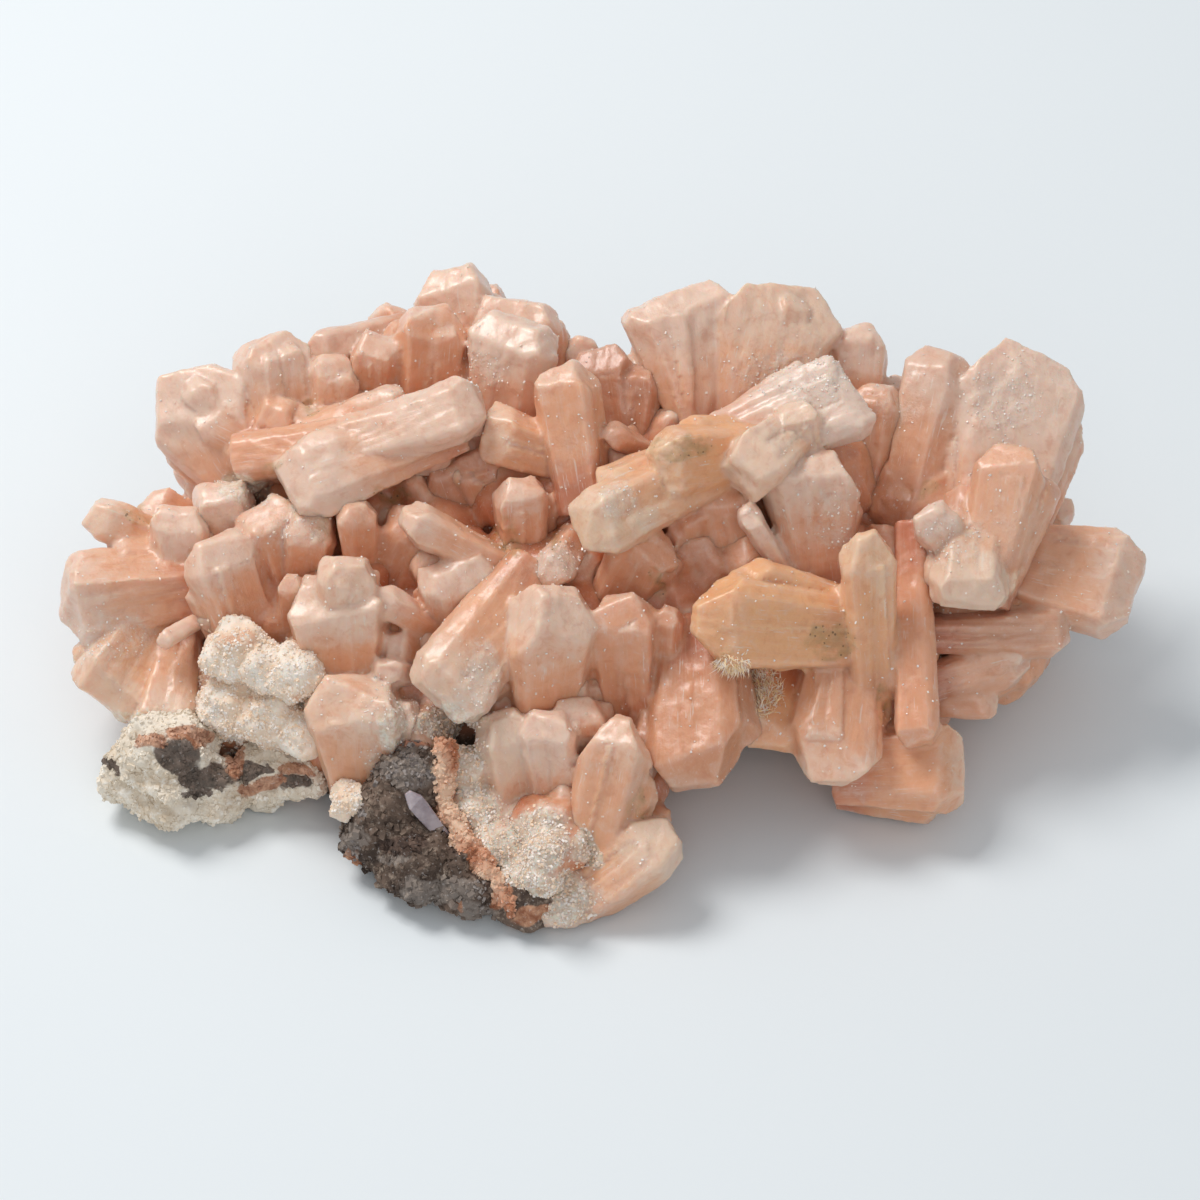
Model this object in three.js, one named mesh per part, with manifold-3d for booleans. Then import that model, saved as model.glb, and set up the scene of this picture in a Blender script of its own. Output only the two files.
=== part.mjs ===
import * as THREE from 'three';
import { mergeVertices } from 'three/addons/utils/BufferGeometryUtils.js';
import Module from 'manifold-3d';

// Stilbite cluster: sheaves of blunt salmon-pink crystals that cover a dark, pitted basalt stone.
// The stone shows at the front edge, with a pale granular rock beside it at the left.
// Lengths are in millimetres. +Z is up, -Y is the front, and the stone rests on z = 0.

// Driving dimensions of the whole specimen.
const OVERALL_WIDTH = 180;
const SPECIMEN_PIXELS = 1078;
const STONE_DEPTH_BELOW_TIPS = 15;
const TOUCH_GAP = 0.48;
const TIP_RISE = 3;
const ROOT_SINK = 8;
const BURIED_LENGTH = 2;
const FLAT_TOLERANCE = 0.24;
const LOWEST_CRYSTAL = 1.2;
const PLAIN_SECTION_WIDTH = 9.8;
const PAD_SPREAD = 1.1;
const PAD_FLATNESS = 0.8;
const PAD_SIDES = 4;
const PAD_LEVELS = [0.3, 0.72];
const LUMP_ROUGHNESS = 0.2;
const LUMP_SIDES = 6;
const LUMP_LEVELS = [0.17, 0.48, 0.82];

// The photograph's viewpoint, which turns a place in the picture and a height into a point.
const PICTURE_CENTRE = 600;
const EYE_DISTANCE = 800;
const EYE_ELEVATION = THREE.MathUtils.degToRad(45);
const TARGET_HEIGHT = 28;
const FOCAL_PIXELS = (EYE_DISTANCE * SPECIMEN_PIXELS) / OVERALL_WIDTH;

const FORWARD = new THREE.Vector3(0, Math.cos(EYE_ELEVATION), -Math.sin(EYE_ELEVATION));
const UPWARD = new THREE.Vector3(0, Math.sin(EYE_ELEVATION), Math.cos(EYE_ELEVATION));
const EYE = new THREE.Vector3(0, 0, TARGET_HEIGHT).addScaledVector(FORWARD, -EYE_DISTANCE);

// Height of the crystal cover on the middle line, by the picture row where it shows.
const COVER_PROFILE = [
  { row: 931, height: 2 },
  { row: 804, height: 12 },
  { row: 719, height: 22 },
  { row: 634, height: 32 },
  { row: 549, height: 41 },
  { row: 464, height: 47 },
  { row: 380, height: 52 },
  { row: 260, height: 57 },
];
const SIDE_DROP = 12;

const COLOURS = {
  salmon: '#cd957d',
  deepSalmon: '#b97c62',
  pale: '#dcbfb0',
  cream: '#e0c6b0',
  orange: '#de9f75',
  white: '#e9dcd2',
  rind: '#c98f6d',
  basalt: '#564c47',
  paleRock: '#d6cdbf',
  lavender: '#a7a0a4',
};

// One entry per crystal: where its tip and its root show in the picture, then its real size.
// roll turns the broad face to the right, rise lifts the tip and sink lowers the root.
const SHEAVES = [
  {
    node: 'diagonal_sheaf',
    colour: COLOURS.orange,
    crystals: [
      { tip: [859, 390], root: [733, 441], wide: 14, thick: 5, rise: 6, sink: 0, end: 0.8, roll: 12 },
      { tip: [741, 474], root: [811, 420], wide: 9, thick: 8.4, rise: 6, sink: 1, end: 0.65 },
      { tip: [792, 404], root: [812, 470], wide: 7.5, thick: 6, rise: 7, sink: 2, end: 0.6 },
      { tip: [806, 455], root: [818, 592], wide: 14.5, thick: 8, rise: 4, sink: 6, end: 0.6, taper: 0.5 },
      { tip: [581, 533], root: [752, 446], wide: 10.5, thick: 8, rise: 5, sink: 1, end: 0.55, roll: 16 },
      { tip: [652, 468], root: [772, 448], wide: 11, thick: 7, rise: 6, sink: 1, end: 0.5, roll: 14 },
      { tip: [656, 532], root: [603, 628], wide: 11.5, thick: 7, rise: 1, sink: 8, roll: -10 },
      { tip: [545, 582], root: [580, 530], wide: 6, thick: 5, rise: 1, sink: 5 },
      { tip: [716, 484], root: [748, 602], wide: 9.5, thick: 6, rise: 0, sink: 9, roll: -12 },
      { tip: [688, 500], root: [697, 604], wide: 8, thick: 6, rise: -1, sink: 9 },
    ],
    masses: [
      { at: [815, 470], sink: 10, radius: 11 },
      { at: [700, 520], sink: 12, radius: 13 },
      { at: [640, 570], sink: 14, radius: 11 },
    ],
  },
  {
    node: 'left_rear_sheaf',
    colour: COLOURS.pale,
    crystals: [
      { tip: [481, 404], root: [250, 456], wide: 9.4, thick: 9, rise: 5, sink: 0, end: 0.55, roll: 10 },
      { tip: [286, 488], root: [448, 428], wide: 12.5, thick: 8, rise: 3, sink: 0, end: 0.65, roll: -12 },
      { tip: [178, 372], root: [246, 484], wide: 18, thick: 7.5, rise: 3, sink: 7, end: 0.62, taper: 0.6, roll: 16 },
      { tip: [270, 336], root: [282, 446], wide: 11.5, thick: 8, rise: 4, sink: 6, end: 0.55, roll: -26 },
      { tip: [334, 357], root: [324, 440], wide: 8.5, thick: 7, rise: 1, sink: 8, end: 0.55 },
      { tip: [187, 494], root: [228, 474], wide: 4.5, thick: 3, rise: -8, sink: 11 },
    ],
    masses: [
      { at: [360, 450], sink: 8, radius: 11 },
      { at: [270, 440], sink: 12, radius: 12 },
      { at: [266, 448], sink: 3, radius: 6.5 },
    ],
  },
  {
    node: 'front_sheaf',
    colour: COLOURS.salmon,
    crystals: [
      { tip: [438, 704], root: [528, 576], wide: 13.5, thick: 8, rise: 5, sink: 2, end: 0.62, roll: 14 },
      { tip: [556, 590], root: [546, 722], wide: 14.2, thick: 9, rise: 5, sink: 4, end: 0.45, roll: -18 },
      { tip: [694, 787], root: [697, 630], wide: 15, thick: 8, rise: 3, sink: 3, end: 0.45, roll: -14 },
      { tip: [620, 596], root: [630, 716], wide: 10, thick: 7, rise: 3, sink: 5, end: 0.5, roll: 12 },
      { tip: [669, 607], root: [668, 690], wide: 5, thick: 5, rise: 2, sink: 5 },
      { tip: [652, 760], root: [668, 670], wide: 7, thick: 5, rise: 0, sink: 6 },
    ],
    masses: [
      { at: [510, 660], sink: 12, radius: 11 },
      { at: [665, 690], sink: 12, radius: 11 },
    ],
  },
  {
    node: 'front_tip_sheaf',
    colour: COLOURS.salmon,
    crystals: [
      { tip: [624, 716], root: [588, 884], wide: 10, thick: 7, rise: 6, sink: 3, end: 0.28, roll: 20 },
      { tip: [674, 830], root: [576, 908], wide: 9.2, thick: 7, rise: 4, sink: 3, end: 0.45, roll: 12 },
      { tip: [503, 714], root: [517, 815], wide: 8.2, thick: 6, rise: 3, sink: 5, end: 0.5, roll: -14 },
      { tip: [546, 712], root: [560, 818], wide: 8.8, thick: 6, rise: 4, sink: 4, end: 0.55, roll: 14 },
      { tip: [574, 704], root: [588, 780], wide: 9, thick: 6, rise: 2, sink: 7, end: 0.6 },
    ],
    masses: [
      { at: [540, 838], sink: 4, radius: 8.5 },
      { at: [463, 768], sink: 1, radius: 4.2 },
      { at: [477, 806], sink: 1, radius: 4.8 },
      { at: [498, 846], sink: 0.5, radius: 5.2 },
      { at: [526, 882], sink: 0, radius: 5.4 },
      { at: [560, 890], sink: 2, radius: 6.8 },
      { at: [600, 812], sink: 9, radius: 9 },
    ],
  },
  {
    node: 'hanging_sheaf',
    colour: COLOURS.orange,
    crystals: [
      { tip: [694, 616], root: [872, 632], wide: 14, thick: 6.5, rise: 6, sink: 1, end: 0.3, roll: 8 },
      { tip: [868, 532], root: [874, 705], wide: 8.6, thick: 5, rise: 8, sink: 2, end: 0.35, roll: -14 },
      { tip: [827, 784], root: [846, 640], wide: 14, thick: 7, rise: 3, sink: 4, end: 0.4, roll: 10 },
      { tip: [919, 744], root: [912, 536], wide: 6.8, thick: 6, rise: 4, sink: 2, end: 0.6, roll: -12 },
      { tip: [965, 768], root: [846, 772], wide: 14, thick: 9, rise: 1, sink: 4, end: 0.6, roll: 10 },
      { tip: [764, 748], root: [792, 682], wide: 9.5, thick: 5, rise: 0, sink: 5, end: 0.6 },
    ],
    masses: [
      { at: [878, 634], sink: 7, radius: 10 },
      { at: [868, 712], sink: 11, radius: 12 },
      { at: [884, 752], sink: 6, radius: 9 },
    ],
  },
  {
    node: 'right_sheaf',
    colour: COLOURS.pale,
    crystals: [
      { tip: [1028, 348], root: [984, 592], wide: 19.5, thick: 8, rise: 4, sink: 5, end: 0.6, taper: 0.5, roll: -12 },
      { tip: [1016, 446], root: [984, 592], wide: 11, thick: 6, rise: 8, sink: -1, end: 0.5, roll: 12 },
      { tip: [968, 606], root: [972, 508], wide: 12.5, thick: 7, rise: 5, sink: 0, end: 0.7, roll: 8 },
      { tip: [926, 512], root: [966, 566], wide: 7, thick: 4, rise: 5, sink: 2, end: 0.6 },
      { tip: [942, 352], root: [906, 512], wide: 11, thick: 7, rise: 2, sink: 7, end: 0.5, roll: 24 },
    ],
    masses: [
      { at: [968, 566], sink: 9, radius: 12 },
      { at: [925, 490], sink: 9, radius: 10 },
    ],
  },
  {
    node: 'right_low_sheaf',
    colour: COLOURS.pale,
    crystals: [
      { tip: [1138, 588], root: [1002, 560], wide: 17, thick: 8, rise: 3, sink: 4, end: 0.55, roll: 14 },
      { tip: [1068, 632], root: [936, 634], wide: 7.5, thick: 6, rise: 0, sink: 3 },
      { tip: [1028, 656], root: [930, 684], wide: 8, thick: 6, rise: -2, sink: 5 },
      { tip: [1000, 704], root: [925, 706], wide: 5, thick: 5, rise: -3, sink: 6 },
      { tip: [1074, 504], root: [1036, 520], wide: 5.5, thick: 4, rise: -6, sink: 9 },
    ],
    masses: [
      { at: [1000, 612], sink: 8, radius: 10 },
      { at: [985, 640], sink: 11, radius: 11 },
    ],
  },
  {
    node: 'rear_right_sheaf',
    colour: COLOURS.pale,
    crystals: [
      { tip: [674, 291], root: [694, 432], wide: 17.5, thick: 8, rise: 3, sink: 7, end: 0.7, taper: 0.35 },
      { tip: [786, 286], root: [752, 430], wide: 20, thick: 8, rise: 3, sink: 7, end: 0.55, taper: 0.5, roll: -12 },
      { tip: [860, 325], root: [858, 420], wide: 8.5, thick: 5, rise: 0, sink: 9, end: 0.5 },
      { tip: [880, 385], root: [870, 480], wide: 8, thick: 6, rise: -1, sink: 9, end: 0.5 },
    ],
    masses: [
      { at: [745, 415], sink: 12, radius: 13 },
      { at: [835, 430], sink: 13, radius: 11 },
    ],
  },
  {
    node: 'centre_rear_sheaf',
    colour: COLOURS.deepSalmon,
    crystals: [
      { tip: [563, 365], root: [584, 500], wide: 9.6, thick: 8, rise: 6, sink: 3, end: 0.45, roll: 18 },
      { tip: [482, 428], root: [572, 458], wide: 9, thick: 8, rise: 2, sink: 4, end: 0.6 },
      { tip: [600, 348], root: [612, 440], wide: 10, thick: 7, rise: -1, sink: 9, end: 0.6 },
      { tip: [640, 366], root: [632, 452], wide: 8, thick: 6, rise: -2, sink: 9, end: 0.6 },
      { tip: [520, 478], root: [526, 580], wide: 8.6, thick: 6, rise: 2, sink: 8, end: 0.5 },
      { tip: [470, 452], root: [500, 524], wide: 8, thick: 5, rise: -1, sink: 9 },
      { tip: [440, 456], root: [466, 524], wide: 7.5, thick: 5, rise: -2, sink: 9 },
      { tip: [586, 339], root: [572, 400], wide: 6.5, thick: 4, rise: -4, sink: 12 },
    ],
    masses: [
      { at: [560, 450], sink: 13, radius: 14 },
      { at: [505, 500], sink: 14, radius: 11 },
    ],
  },
  {
    node: 'crest_sheaf',
    colour: COLOURS.deepSalmon,
    crystals: [
      { tip: [516, 318], root: [503, 420], wide: 14.5, thick: 8, rise: 4, sink: 7, end: 0.6, roll: 28 },
      { tip: [512, 299], root: [520, 400], wide: 15, thick: 6, rise: 0, sink: 10, end: 0.62 },
      { tip: [452, 267], root: [458, 360], wide: 12.5, thick: 7, rise: -1, sink: 10, end: 0.5, roll: 12 },
      { tip: [432, 306], root: [420, 410], wide: 11, thick: 8, rise: 2, sink: 8, end: 0.55, roll: -16 },
      { tip: [378, 334], root: [374, 410], wide: 8, thick: 7, rise: 2, sink: 8, end: 0.55, roll: 10 },
      { tip: [310, 355], root: [412, 327], wide: 6.5, thick: 4, rise: -1, sink: 6, end: 0.5 },
    ],
    masses: [
      { at: [470, 385], sink: 13, radius: 14 },
      { at: [400, 390], sink: 13, radius: 10 },
    ],
  },
  {
    node: 'centre_left_sheaf',
    colour: COLOURS.salmon,
    crystals: [
      { tip: [352, 682], root: [366, 792], wide: 15, thick: 10, rise: 4, sink: 5, end: 0.6, roll: 10 },
      { tip: [400, 706], root: [398, 770], wide: 6, thick: 6, rise: 2, sink: 6, end: 0.6 },
      { tip: [336, 583], root: [346, 690], wide: 15.5, thick: 10, rise: 3, sink: 5, end: 0.65, roll: 8 },
      { tip: [350, 562], root: [338, 640], wide: 8.8, thick: 6, rise: 6, sink: 2, end: 0.55 },
      { tip: [357, 502], root: [362, 582], wide: 6.6, thick: 5, rise: 3, sink: 6, end: 0.5 },
      { tip: [428, 518], root: [392, 592], wide: 11, thick: 6, rise: -1, sink: 9, end: 0.6 },
      { tip: [401, 516], root: [508, 568], wide: 6.6, thick: 6, rise: 4, sink: 3, end: 0.35 },
      { tip: [458, 562], root: [466, 632], wide: 12.5, thick: 7, rise: 1, sink: 8, end: 0.6 },
      { tip: [376, 594], root: [446, 636], wide: 4.8, thick: 4, rise: 3, sink: 5 },
      { tip: [383, 642], root: [428, 652], wide: 5, thick: 5, rise: 0, sink: 6 },
    ],
    masses: [
      { at: [362, 714], sink: 8, radius: 10 },
      { at: [400, 610], sink: 12, radius: 12 },
      { at: [360, 560], sink: 14, radius: 10 },
    ],
  },
  {
    node: 'left_middle_sheaf',
    colour: COLOURS.salmon,
    crystals: [
      { tip: [214, 537], root: [250, 648], wide: 11.5, thick: 7, rise: 4, sink: 5, end: 0.6, roll: -20 },
      { tip: [291, 574], root: [296, 644], wide: 4.6, thick: 4, rise: 1, sink: 6 },
      { tip: [262, 506], root: [288, 580], wide: 10, thick: 8, rise: 1, sink: 7, end: 0.6 },
      { tip: [314, 514], root: [300, 586], wide: 8, thick: 7, rise: 1, sink: 7, end: 0.6 },
      { tip: [218, 484], root: [240, 560], wide: 9.5, thick: 7, rise: 0, sink: 8, end: 0.7 },
    ],
    masses: [
      { at: [300, 606], sink: 9, radius: 10 },
      { at: [262, 590], sink: 9, radius: 11 },
    ],
  },
  {
    node: 'left_sheaf',
    colour: COLOURS.pale,
    crystals: [
      { tip: [62, 600], root: [190, 582], wide: 13.5, thick: 10, rise: 2, sink: 4, end: 0.6, roll: 26 },
      { tip: [88, 514], root: [186, 552], wide: 6.4, thick: 5.6, rise: 2, sink: 7, end: 0.6 },
      { tip: [176, 508], root: [192, 622], wide: 9.4, thick: 6, rise: 2, sink: 7, end: 0.6, roll: 14 },
      { tip: [100, 704], root: [168, 606], wide: 13.5, thick: 8, rise: 1, sink: 6, end: 0.7, roll: 10 },
      { tip: [160, 740], root: [180, 640], wide: 10, thick: 7, rise: 1, sink: 6, end: 0.75 },
    ],
    masses: [
      { at: [165, 610], sink: 11, radius: 11 },
    ],
  },
];

// The picture doesn't show the back, so its crystals are placed by their real coordinates.
const BACK_SHEAVES = [
  {
    node: 'hidden_rear_left_sheaf',
    colour: COLOURS.salmon,
    crystals: [
      { tip: [-72, 45, 22], root: [-52, 26, 18], wide: 12, thick: 7, roll: 10 },
      { tip: [-58, 52, 14], root: [-44, 30, 16], wide: 11, thick: 7, roll: -8 },
      { tip: [-46, 55, 26], root: [-38, 32, 20], wide: 13, thick: 8, roll: 4 },
      { tip: [-30, 59, 15], root: [-28, 34, 17], wide: 12, thick: 7, roll: -12 },
      { tip: [-22, 60, 33], root: [-22, 34, 22], wide: 13, thick: 8, roll: 12 },
      { tip: [-82, 30, 12], root: [-60, 18, 15], wide: 10, thick: 7, roll: -6 },
      { tip: [-6, 61, 22], root: [-10, 36, 20], wide: 12, thick: 7, roll: 6 },
      { tip: [-35, 53, 37], root: [-33, 33, 20], wide: 12, thick: 7, roll: -6 },
      { tip: [-57, 45, 32], root: [-46, 28, 18], wide: 11, thick: 7, roll: 8 },
    ],
    centres: [
      { at: [-65, 27, 13], radius: 10 },
      { at: [-49, 36, 16], radius: 11 },
      { at: [-32, 41, 18], radius: 11 },
      { at: [-14, 42, 19], radius: 11 },
    ],
  },
  {
    node: 'hidden_rear_right_sheaf',
    colour: COLOURS.deepSalmon,
    crystals: [
      { tip: [12, 62, 14], root: [8, 38, 17], wide: 12, thick: 7, roll: -10 },
      { tip: [22, 61, 30], root: [18, 36, 21], wide: 14, thick: 8, roll: 8 },
      { tip: [38, 58, 16], root: [30, 36, 17], wide: 11, thick: 7, roll: -4 },
      { tip: [12, 57, 38], root: [10, 34, 20], wide: 12, thick: 7, roll: 8 },
      { tip: [36, 54, 37], root: [29, 33, 20], wide: 12, thick: 7, roll: -8 },
    ],
    centres: [
      { at: [11, 43, 17], radius: 11 },
      { at: [29, 41, 18], radius: 11 },
    ],
  },
  {
    node: 'hidden_right_end_sheaf',
    colour: COLOURS.deepSalmon,
    crystals: [
      { tip: [50, 53, 26], root: [38, 33, 20], wide: 13, thick: 8, roll: 12 },
      { tip: [66, 46, 14], root: [46, 30, 16], wide: 11, thick: 7, roll: -8 },
      { tip: [78, 34, 22], root: [54, 24, 18], wide: 13, thick: 8, roll: 6 },
      { tip: [84, 16, 13], root: [58, 12, 16], wide: 11, thick: 7, roll: 0 },
      { tip: [70, 3, 11], root: [54, 4, 15], wide: 9, thick: 7, roll: -10 },
    ],
    centres: [
      { at: [45, 33, 16], radius: 11 },
      { at: [58, 20, 15], radius: 11 },
      { at: [62, 5, 13], radius: 9 },
    ],
  },
];

// Footprint of the stone, as distance from its middle by direction, from +X turning to +Y.
const STONE_MIDDLE = { x: -10, y: 4 };
const STONE_REACH = [64, 59, 46, 37, 35, 39, 50, 64, 68, 55, 36, 47, 51, 40, 26, 35];
const STONE_RINGS = [0.6, 1];
const STONE_ROUGHNESS = 1.6;
const STONE_EDGE_DROP = 9;
const STONE_FOOT_INSET = 3;

// Knobs of the dark stone at the front edge, by picture place and height, and the pits cut in it.
const STONE_KNOBS = [
  { at: [374, 834], height: 6, radius: 7.2 },
  { at: [410, 778], height: 14, radius: 7.2 },
  { at: [422, 862], height: 5.5, radius: 8.4 },
  { at: [472, 885], height: 4, radius: 7 },
  { at: [528, 900], height: 3.5, radius: 6.4 },
  { at: [392, 808], height: 10, radius: 7.4 },
];
const STONE_PITS = [
  { at: [452, 815], height: 17, radius: [5.5, 8, 6] },
  { at: [482, 858], height: 11, radius: [4.5, 6, 4.5] },
  { at: [372, 852], height: 12, radius: [3, 3, 3] },
  { at: [424, 882], height: 12, radius: [2.6, 3.4, 3] },
];
const PALE_ROCK_KNOBS = [
  { at: [136, 776], height: 6.5, radius: 6.4 },
  { at: [175, 790], height: 5, radius: 7.6 },
  { at: [218, 790], height: 5, radius: 7 },
  { at: [262, 778], height: 6, radius: 6.4 },
  { at: [296, 776], height: 7, radius: 4.6 },
  { at: [172, 752], height: 11, radius: 9.4 },
];
const DRUSE_LUMPS = [
  { at: [234, 652], rise: 1, radius: 6.4 },
  { at: [262, 668], rise: 2, radius: 4.8 },
  { at: [296, 672], rise: 2, radius: 5.6 },
  { at: [230, 708], rise: -1, radius: 6 },
  { at: [270, 716], rise: -1, radius: 6.4 },
  { at: [304, 730], rise: -1, radius: 5 },
];
const DRUSE_BALL = [
  { at: [352, 806], rise: 2, radius: 4 },
  { at: [346, 792], rise: 1, radius: 3 },
];

// The rind is the orange-pink layer between stone and crystals, seen edge-on at the front.
const RIND_ROUTE = [[446, 742], [440, 775], [444, 803], [464, 840], [489, 872], [518, 910]];
const RIND_THICKNESS = 3.4;
const RIND_DEPTH = 9;
const RIND_TOP = 2.5;
const VUG_PRISM = { tip: [407, 792], root: [437, 828], wide: 3, thick: 2.6, rise: 5, sink: -2 };

const wasm = await Module();
wasm.setup();

// A point on the sight line through a place in the picture, at the given height.
function seen([column, row], height) {
  const ray = FORWARD.clone().multiplyScalar(FOCAL_PIXELS);
  ray.x += column - PICTURE_CENTRE;
  ray.addScaledVector(UPWARD, PICTURE_CENTRE - row);
  return EYE.clone().addScaledVector(ray, (height - EYE.z) / ray.z);
}

// Height of the crystal cover where it shows at a place in the picture.
function coverHeight([column, row]) {
  const across = (column - PICTURE_CENTRE) / (SPECIMEN_PIXELS / 2);
  let index = 1;
  while (index < COVER_PROFILE.length - 1 && COVER_PROFILE[index].row > row) {
    index += 1;
  }
  const lower = COVER_PROFILE[index - 1];
  const upper = COVER_PROFILE[index];
  const share = THREE.MathUtils.clamp((lower.row - row) / (lower.row - upper.row), 0, 1);
  return THREE.MathUtils.lerp(lower.height, upper.height, share) - SIDE_DROP * across * across;
}

// The place in the picture where a point shows.
function pictured(point) {
  const away = point.clone().sub(EYE);
  const scale = FOCAL_PIXELS / away.dot(FORWARD);
  return [PICTURE_CENTRE + away.x * scale, PICTURE_CENTRE - away.dot(UPWARD) * scale];
}

// Height of the crystal cover above a point of the ground plane, by halving the error each time.
function coverAbove(x, y) {
  let height = TARGET_HEIGHT;
  for (let step = 0; step < 12; step += 1) {
    height = (height + coverHeight(pictured(new THREE.Vector3(x, y, height)))) / 2;
  }
  return height;
}

// Smooth unevenness between -1 and 1, different for each seed.
function unevenness(point, wave, seed) {
  const { x, y, z } = point;
  const a = Math.sin((x * 1.0 + y * 0.6 + seed * 1.7) / wave);
  const b = Math.sin((y * 1.1 - z * 0.7 + seed * 2.9) / wave);
  const c = Math.sin((z * 1.2 + x * 0.5 - seed * 4.1) / wave);
  return (a + b + c) / 3;
}

function solidFrom(points, triangles) {
  const vertProperties = new Float32Array(points.length * 3);
  points.forEach((point, index) => point.toArray(vertProperties, index * 3));
  const triVerts = new Uint32Array(triangles.flat());
  return new wasm.Manifold(new wasm.Mesh({ numProp: 3, vertProperties, triVerts }));
}

function solidFromGeometry(geometry) {
  const bare = geometry.clone();
  bare.deleteAttribute('normal');
  bare.deleteAttribute('uv');
  const merged = mergeVertices(bare, 1e-4);
  const vertProperties = new Float32Array(merged.attributes.position.array);
  const triVerts = new Uint32Array(merged.index.array);
  return new wasm.Manifold(new wasm.Mesh({ numProp: 3, vertProperties, triVerts }));
}

// Skins a stack of rings, each turning the same way, and closes both ends.
function stackedRings(rings) {
  const count = rings[0].length;
  const triangles = [];
  for (let level = 0; level < rings.length - 1; level += 1) {
    for (let index = 0; index < count; index += 1) {
      const next = (index + 1) % count;
      const here = level * count;
      const above = here + count;
      triangles.push([here + index, here + next, above + next]);
      triangles.push([here + index, above + next, above + index]);
    }
  }
  const last = (rings.length - 1) * count;
  for (let index = 1; index < count - 1; index += 1) {
    triangles.push([0, index + 1, index]);
    triangles.push([last, last + index, last + index + 1]);
  }
  return solidFrom(rings.flat(), triangles);
}

// A crystal's axis and the directions of its broad face and its right-hand edge.
function standing(tip, root, roll) {
  const axis = tip.clone().sub(root).normalize();
  const toEye = EYE.clone().sub(root).normalize();
  const face = toEye.addScaledVector(axis, -toEye.dot(axis)).normalize();
  face.applyAxisAngle(axis, THREE.MathUtils.degToRad(-roll));
  return { axis, face, edge: axis.clone().cross(face) };
}

// A tabular crystal: a flattened six-sided prism that narrows to its root and has a blunt end.
function bladeSolid(tip, root, crystal, grow) {
  const { wide, thick, roll = 0, end = 0.45, taper = 0.72, plain = wide < PLAIN_SECTION_WIDTH } = crystal;
  const { axis, face, edge } = standing(tip, root, roll);
  const length = tip.distanceTo(root);
  const cut = Math.min(length * 0.42, wide * (1 - end) * 0.75 + 1);
  const stations = [
    { left: -BURIED_LENGTH - grow, right: -BURIED_LENGTH - grow, width: taper, depth: 0.8 },
    { left: length - cut, right: length - cut * 0.8, width: 1, depth: 0.95 },
    { left: length + grow, right: length + grow, width: end * 0.85, depth: 0.42 },
  ];
  const rings = stations.map((station) => {
    const half = (wide * station.width) / 2 + grow;
    const broad = (thick * station.depth) / 2 + grow;
    const flat = half - Math.min(broad * 0.55, half * 0.5);
    const sixSided = [[broad, -flat], [broad, flat], [0, half], [-broad, flat], [-broad, -flat], [0, -half]];
    const fourSided = [[broad, -half], [broad, half], [-broad, half], [-broad, -half]];
    const corners = plain ? fourSided : sixSided;
    return corners.map(([out, across]) => {
      const along = across < 0 ? station.left : station.right;
      return root.clone().addScaledVector(axis, along)
        .addScaledVector(face, out).addScaledVector(edge, across);
    });
  });
  return stackedRings(rings);
}

function picturedBlade(crystal, grow) {
  const { rise = TIP_RISE, sink = ROOT_SINK } = crystal;
  const tip = seen(crystal.tip, coverHeight(crystal.tip) + rise);
  const root = seen(crystal.root, coverHeight(crystal.root) - sink);
  return bladeSolid(tip, root, crystal, grow);
}

function placedBlade(crystal, grow) {
  const tip = new THREE.Vector3(...crystal.tip);
  const root = new THREE.Vector3(...crystal.root);
  return bladeSolid(tip, root, { ...crystal, plain: true }, grow);
}

// An uneven lump, the form of crystal roots, druse and stone knobs.
function lump(centre, radius, seed, grow, sides = LUMP_SIDES, levels = LUMP_LEVELS) {
  const [rx, ry, rz] = Array.isArray(radius) ? radius : [radius, radius, radius * 0.9];
  const rings = levels.map((level, step) => {
    const tilt = level * Math.PI;
    return Array.from({ length: sides }, (unused, index) => {
      const turn = ((index + (step % 2) * 0.5) / sides) * Math.PI * 2;
      const out = Math.sin(tilt);
      const point = new THREE.Vector3(Math.cos(turn) * out, Math.sin(turn) * out, -Math.cos(tilt));
      point.multiplyScalar(1 + LUMP_ROUGHNESS * unevenness(point, 0.38, seed));
      return new THREE.Vector3(rx + grow, ry + grow, rz + grow).multiply(point).add(centre);
    });
  });
  return stackedRings(rings);
}

function knob({ at, height, radius }, seed, grow) {
  return lump(seen(at, height), radius, seed, grow);
}

function coverLump({ at, rise = 0, sink = 0, radius }, seed, grow) {
  return lump(seen(at, coverHeight(at) + rise - sink), radius, seed, grow);
}

// The flattened root mass that a sheaf's crystals grow from.
function rootPad(centre, radius, seed, grow) {
  const size = [radius * PAD_SPREAD, radius * PAD_SPREAD, radius * PAD_FLATNESS];
  return lump(centre, size, seed, grow, PAD_SIDES, PAD_LEVELS);
}

function above(height) {
  const slab = new THREE.BoxGeometry(400, 400, 200);
  slab.translate(0, 0, height + 100);
  return solidFromGeometry(slab);
}

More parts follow.
